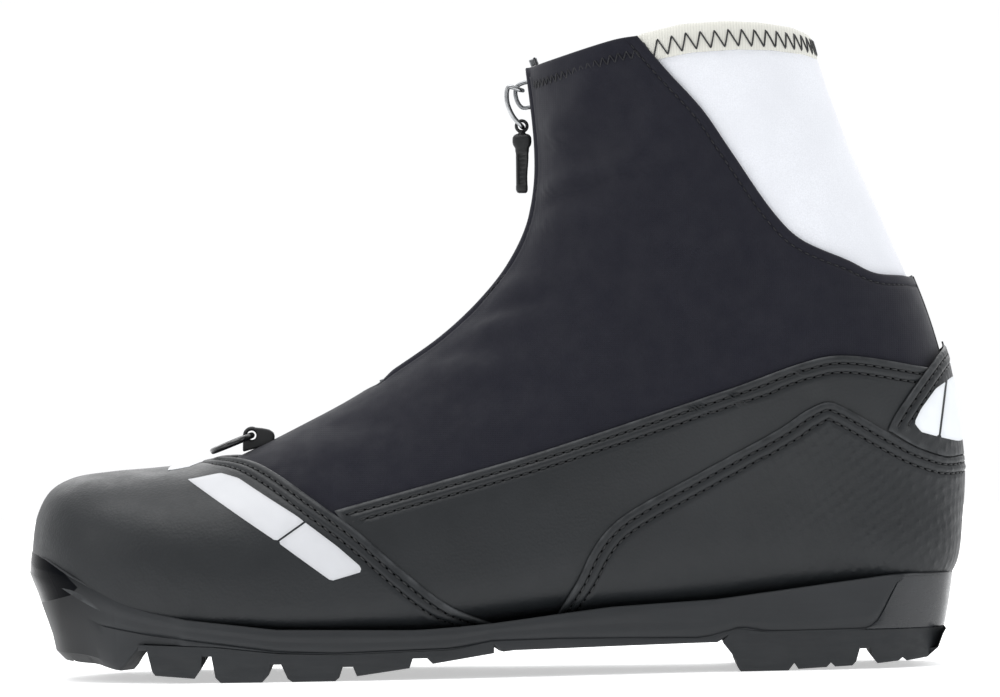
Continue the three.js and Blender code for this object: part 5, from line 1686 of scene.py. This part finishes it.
def rounded_copy(node, name, material, body, width, angle=28):
    """A detailed stand-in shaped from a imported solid, with rounded edges."""
    mesh = nodes[node].data.copy()
    mesh.name = name
    for key in [a.name for a in mesh.attributes if a.domain == "CORNER" and a.name != ".corner_vert" and a.name != ".corner_edge"]:
        pass
    import bmesh
    work = bmesh.new()
    work.from_mesh(mesh)
    bmesh.ops.remove_doubles(work, verts=work.verts, dist=2e-6)
    bmesh.ops.dissolve_limit(work, angle_limit=math.radians(1.0), verts=work.verts, edges=work.edges)
    work.to_mesh(mesh)
    work.free()
    mesh.materials.clear()
    mesh.materials.append(material)
    obj = bpy.data.objects.new(name, mesh)
    bpy.context.scene.collection.objects.link(obj)
    if mesh.has_custom_normals:
        mesh.normals_split_custom_set([(0, 0, 0)] * len(mesh.loops))
    finish_mesh(obj, 35)
    soften(obj, width, 2, angle)
    place(obj, node, body)
    return obj


for node in ("zip_top_stop_lateral", "zip_top_stop_medial", "zip_bottom_stop"):
    rounded_copy(node, node + "_crimp", MATS["slider"], "boot", 0.25)


def arc_bar(profile, angles, scale=None):
    """A bar along the zip with the same closed (r, y) profile at every angle."""
    widths = np.ones(len(angles)) if scale is None else scale
    rings = [arc_point(a, np.array([r for r, _ in profile]), np.array([y for _, y in profile]) * w) for a,
             w in zip(angles, widths)]
    n, m = len(rings), len(profile)
    faces = [[i * m + j, i * m + (j + 1) % m, (i + 1) * m + (j + 1) % m,
              (i + 1) * m + j] for i in range(n - 1) for j in range(m)]
    faces += [list(range(m))[::-1], [(n - 1) * m + j for j in range(m)]]
    return np.vstack(rings), faces


def build_slider():
    """Front plate with its flanges, back plate, the post between them and the arched bridge for the link."""
    at_, half = 12.4, 4.45
    angles = np.linspace(at_ - half, at_ + half, 13)
    narrow = 0.80 + 0.20 * smooth(np.linspace(0, 1.5, 13)) - 0.16 * smooth(np.linspace(-5.5, 1, 13))
    front = [(3.0, -4.6), (-0.2, -4.6), (-0.8, -3.6), (-0.8, 3.6), (-0.2, 4.6), (3.0, 4.6), (3.0, 2.8),
             (1.5, 2.8), (1.5, -2.8),
             (3.0, -2.8)]
    base = [(4.5, -4.3), (4.5, 4.3), (5.0, 4.6), (5.4, 4.1), (5.4, -4.1), (5.0, -4.6)]
    post = [(1.4, -0.33), (1.4, 0.33), (4.6, 0.33), (4.6, -0.33)]
    bridge = np.array([(-0.5, 3.0), (-2.5, 3.15), (-4.5, 2.75), (-5.5, 1.3), (-5.5, -1.2), (-4.4, -2.8),
                       (-2.4, -3.05), (-0.5, -2.9)])
    line = Catmull(bridge)(np.linspace(0, 1, 33))
    arch_v, arch_f = tube(arc_point(at_ + line[:, 1], line[:, 0], 0.0), 0.68, 12)
    arch_v = np.asarray(arch_v) * [1, 1.55, 1]
    v, f = joined([arc_bar(front, angles, narrow), arc_bar(base, angles, narrow),
                   arc_bar(post, angles[-5:-1]), (arch_v, arch_f)])
    obj = add("zip_slider_body", v, f, MATS["slider"], "zip_slider", "slider", "zip_metal", sharp=40)
    soften(obj, 0.28, 3, 40)


def build_ring_holder():
    """Moulded loop on the vamp: a low ear with a through hole for the ring, falling away behind."""
    px, pz = -77.2, 76.4
    nose = [(px + 2.75 * math.cos(t), pz + 2.75 * math.sin(t)) for t in np.radians(np.linspace(185, 62, 12))]
    outline = [(px - 2.9, 71.2)] + nose + [(px + 3.4, 78.6), (px + 5.6, 78.1), (px + 7.0, 77.2),
                                           (px + 7.3, 75.9), (px + 7.0, 73.6)]
    n = len(outline)
    verts = np.array([(x, y, z) for y in (-2.95, 2.95) for x, z in outline])
    faces = [list(range(n)),
             [n + k for k in range(n)][::-1]] + [[(k + 1) % n, k, n + k, n + (k + 1) % n] for k in range(n)]
    obj = add("ring_holder_moulding", verts, faces, MATS["holder"], "ring_holder", slot="holder_plastic",
              sharp=35)
    carve(obj, [rod_mesh(px, pz, 1.5, 8)])
    soften(obj, 0.75, 3, 35)


build_slider()
build_ring_holder()

link_path = [(10.4, 184.4), (6.5, 185.4), (5.9, 181.2), (7.6, 176.4), (10.4, 173.0)]
leg = [(x, (0.8 if i in (0, 4) else 1.0) * -2.4, z) for i, (x, z) in enumerate(link_path)]
wire = leg + [(x, -y, z) for x, y, z in leg[::-1]]
ring_path = Catmull(np.array(wire[-2:] + wire + wire[:3]))(np.linspace(2 / 14, 12 / 14, 121))[:-1]
add("zip_link_wire", *tube(ring_path, 0.75, 12, closed=True), MATS["link"], "zip_link", "link", "link_metal")


def build_tab():
    """Moulded pull: a lug with an eye, shoulders, and a flat grip with a sunk panel on each face."""
    x0 = 10.4
    stations = [  # z, half thickness in X, half width in Y
        (151.7, 1.3, 1.9), (152.0, 1.9, 2.6), (152.8, 2.2, 3.0), (155.0, 2.2, 3.0), (160.0, 2.15, 2.95),
                (164.6, 2.15, 2.9),
        (166.0, 2.25, 2.95), (167.1, 2.9, 3.0), (168.0, 3.05, 3.0), (169.4, 3.0, 2.95), (170.2, 2.5, 2.5),
                (170.6, 1.7, 1.8)]
    rings = []
    n_round = 40
    for z, hx, hy in stations:
        a = np.linspace(0, 2 * math.pi, n_round, endpoint=False)
        n = 5.0
        c, s = np.cos(a), np.sin(a)
        px = np.sign(c) * np.abs(c) ** (2 / n) * hx
        py = np.sign(s) * np.abs(s) ** (2 / n) * hy
        rings.append((z, px, py))
    dense, zs = [], np.concatenate([np.linspace(151.7, 152.8, 6), np.linspace(153.2, 166.0, 33),
                                    np.linspace(166.3, 170.6, 14)])
    table_z = [r[0] for r in rings]
    for z in zs:
        px = np.array([np.interp(z, table_z, [r[1][k] for r in rings]) for k in range(n_round)])
        py = np.array([np.interp(z, table_z, [r[2][k] for r in rings]) for k in range(n_round)])
        sunk = 0.45 * smooth((z - 154.0) / 0.7) * smooth((164.8 - z) / 0.7)
        ridges = 0.14 * (0.5 + 0.5 * math.cos((z - 154.4) * 2 * math.pi / 1.45)) * (sunk > 0.2)
        face_y = smooth((np.abs(py) / max(np.abs(py)) - 0.9) / 0.08) * smooth((1.45 - np.abs(px)) / 0.35)
        face_x = smooth((np.abs(px) / max(np.abs(px)) - 0.9) / 0.08) * smooth((2.2 - np.abs(py)) / 0.35)
        py = py - np.sign(py) * face_y * (sunk - ridges)
        px = px - np.sign(px) * face_x * (sunk - ridges)
        px = np.where(px > 0, px * (1 - 0.28 * smooth((164 - z) / 8)), px)
        dense.append(np.c_[x0 + px, py, np.full(n_round, z)])
    n = len(dense)
    verts = np.vstack(dense)
    faces = []
    for i in range(n - 1):
        for j in range(n_round):
            k = (j + 1) % n_round
            faces.append([i * n_round + j, i * n_round + k, (i + 1) * n_round + k, (i + 1) * n_round + j])
    faces.append(list(range(n_round))[::-1])
    faces.append([(n - 1) * n_round + j for j in range(n_round)])
    eye_turn = np.linspace(math.radians(-235), math.radians(55), 25)
    pivot = np.array([x0, 0, 173.0])
    lug = [(pivot[0] + 1.72 * math.cos(t), 0.0, pivot[2] + 1.72 * math.sin(t)) for t in eye_turn]
    lug = [(x0 + 1.2, 0, 170.0), (x0 + 1.45, 0, 171.2)][:0] + lug
    low_eye = [(pivot[0] + 1.72 * math.cos(t), 0.0,
                pivot[2] + 1.72 * math.sin(t)) for t in np.linspace(0, 2 * math.pi, 33)[:-1]]
    parts = [(verts, faces), tube(low_eye, 0.55, 10, closed=True)]
    parts.append(tube([(x0, 0, 170.3), (x0, 0, 170.9), (x0, 0, 171.35)], [1.5, 1.15, 0.9], 16))
    v, f = joined(parts)
    add("pull_tab_grip", v, f, MATS["tab"], "pull_tab", "tab", "tab_plastic", sharp=40)


build_tab()

pivot, tip = np.array([-77.2, 0, 76.4]), np.array([-89.6, 0, 71.6])
turn = np.linspace(0, 2 * math.pi, 64, endpoint=False)[:, None]
oval = (pivot + tip) / 2 + (tip - pivot) / 2 * np.cos(turn) + np.array([0, 9.0, 0]) * np.sin(turn)
add("gaiter_ring_wire", *tube(oval, 1.0, 14, closed=True), MATS["ring"], "gaiter_ring", "ring", "ring_paint")


# ---------------------------------------------------------------- lace and its loops
LACE_ROWS = [0.365, 0.42, 0.475, 0.56, 0.70]


def throat(s, depth, y):
    front, way = front_curve(s)[0], front_curve.way(s)[0]
    return [front[0] + way[1] * depth, y, front[1] - way[0] * depth]


def strand(start):
    points = []
    for row, s in enumerate(LACE_ROWS):
        side = start if row % 2 == 0 else -start
        points += [throat(s - 0.008, 11.4, side * 11.4), throat(s + 0.008, 11.4, side * 11.4)]
        if row < len(LACE_ROWS) - 1:
            points.append(throat((s + LACE_ROWS[row + 1]) / 2, 11.4 + start * 1.45, 0))
    return points


lace_curve = Catmull(strand(-1)[::-1] + strand(1))
add("lace_cord_braid", *tube(lace_curve(np.linspace(0, 1, 420)), 1.05, 10), MATS["cord"], "lace",
    slot="lace_cord")
for row, s in enumerate(LACE_ROWS):
    way = front_curve.way(s)[0]
    across = np.array([0, 1.0, 0])
    normal = np.cross([way[0], 0, way[1]], across)
    for side, tag in SIDES:
        centre = np.array(throat(s, 11.4, side * 12.1))
        loop_points = centre + 2.9 * (np.cos(turn) * across + np.sin(turn) * normal)
        add(f"lace_loop_{tag}_{row + 1}_webbing", *tube(loop_points, 0.66, 8, closed=True), MATS["webbing"],
            f"lace_loop_{tag}_{row + 1}", slot="webbing")


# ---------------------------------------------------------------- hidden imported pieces
for node, material in (("lasting_board", "board"), ("toe_puff", "stiffener"), ("heel_counter", "stiffener"),
                       ("eyestay_lateral", "upper"), ("eyestay_medial", "upper")):
    nodes[node].data.materials.clear()
    nodes[node].data.materials.append(MATS[material])
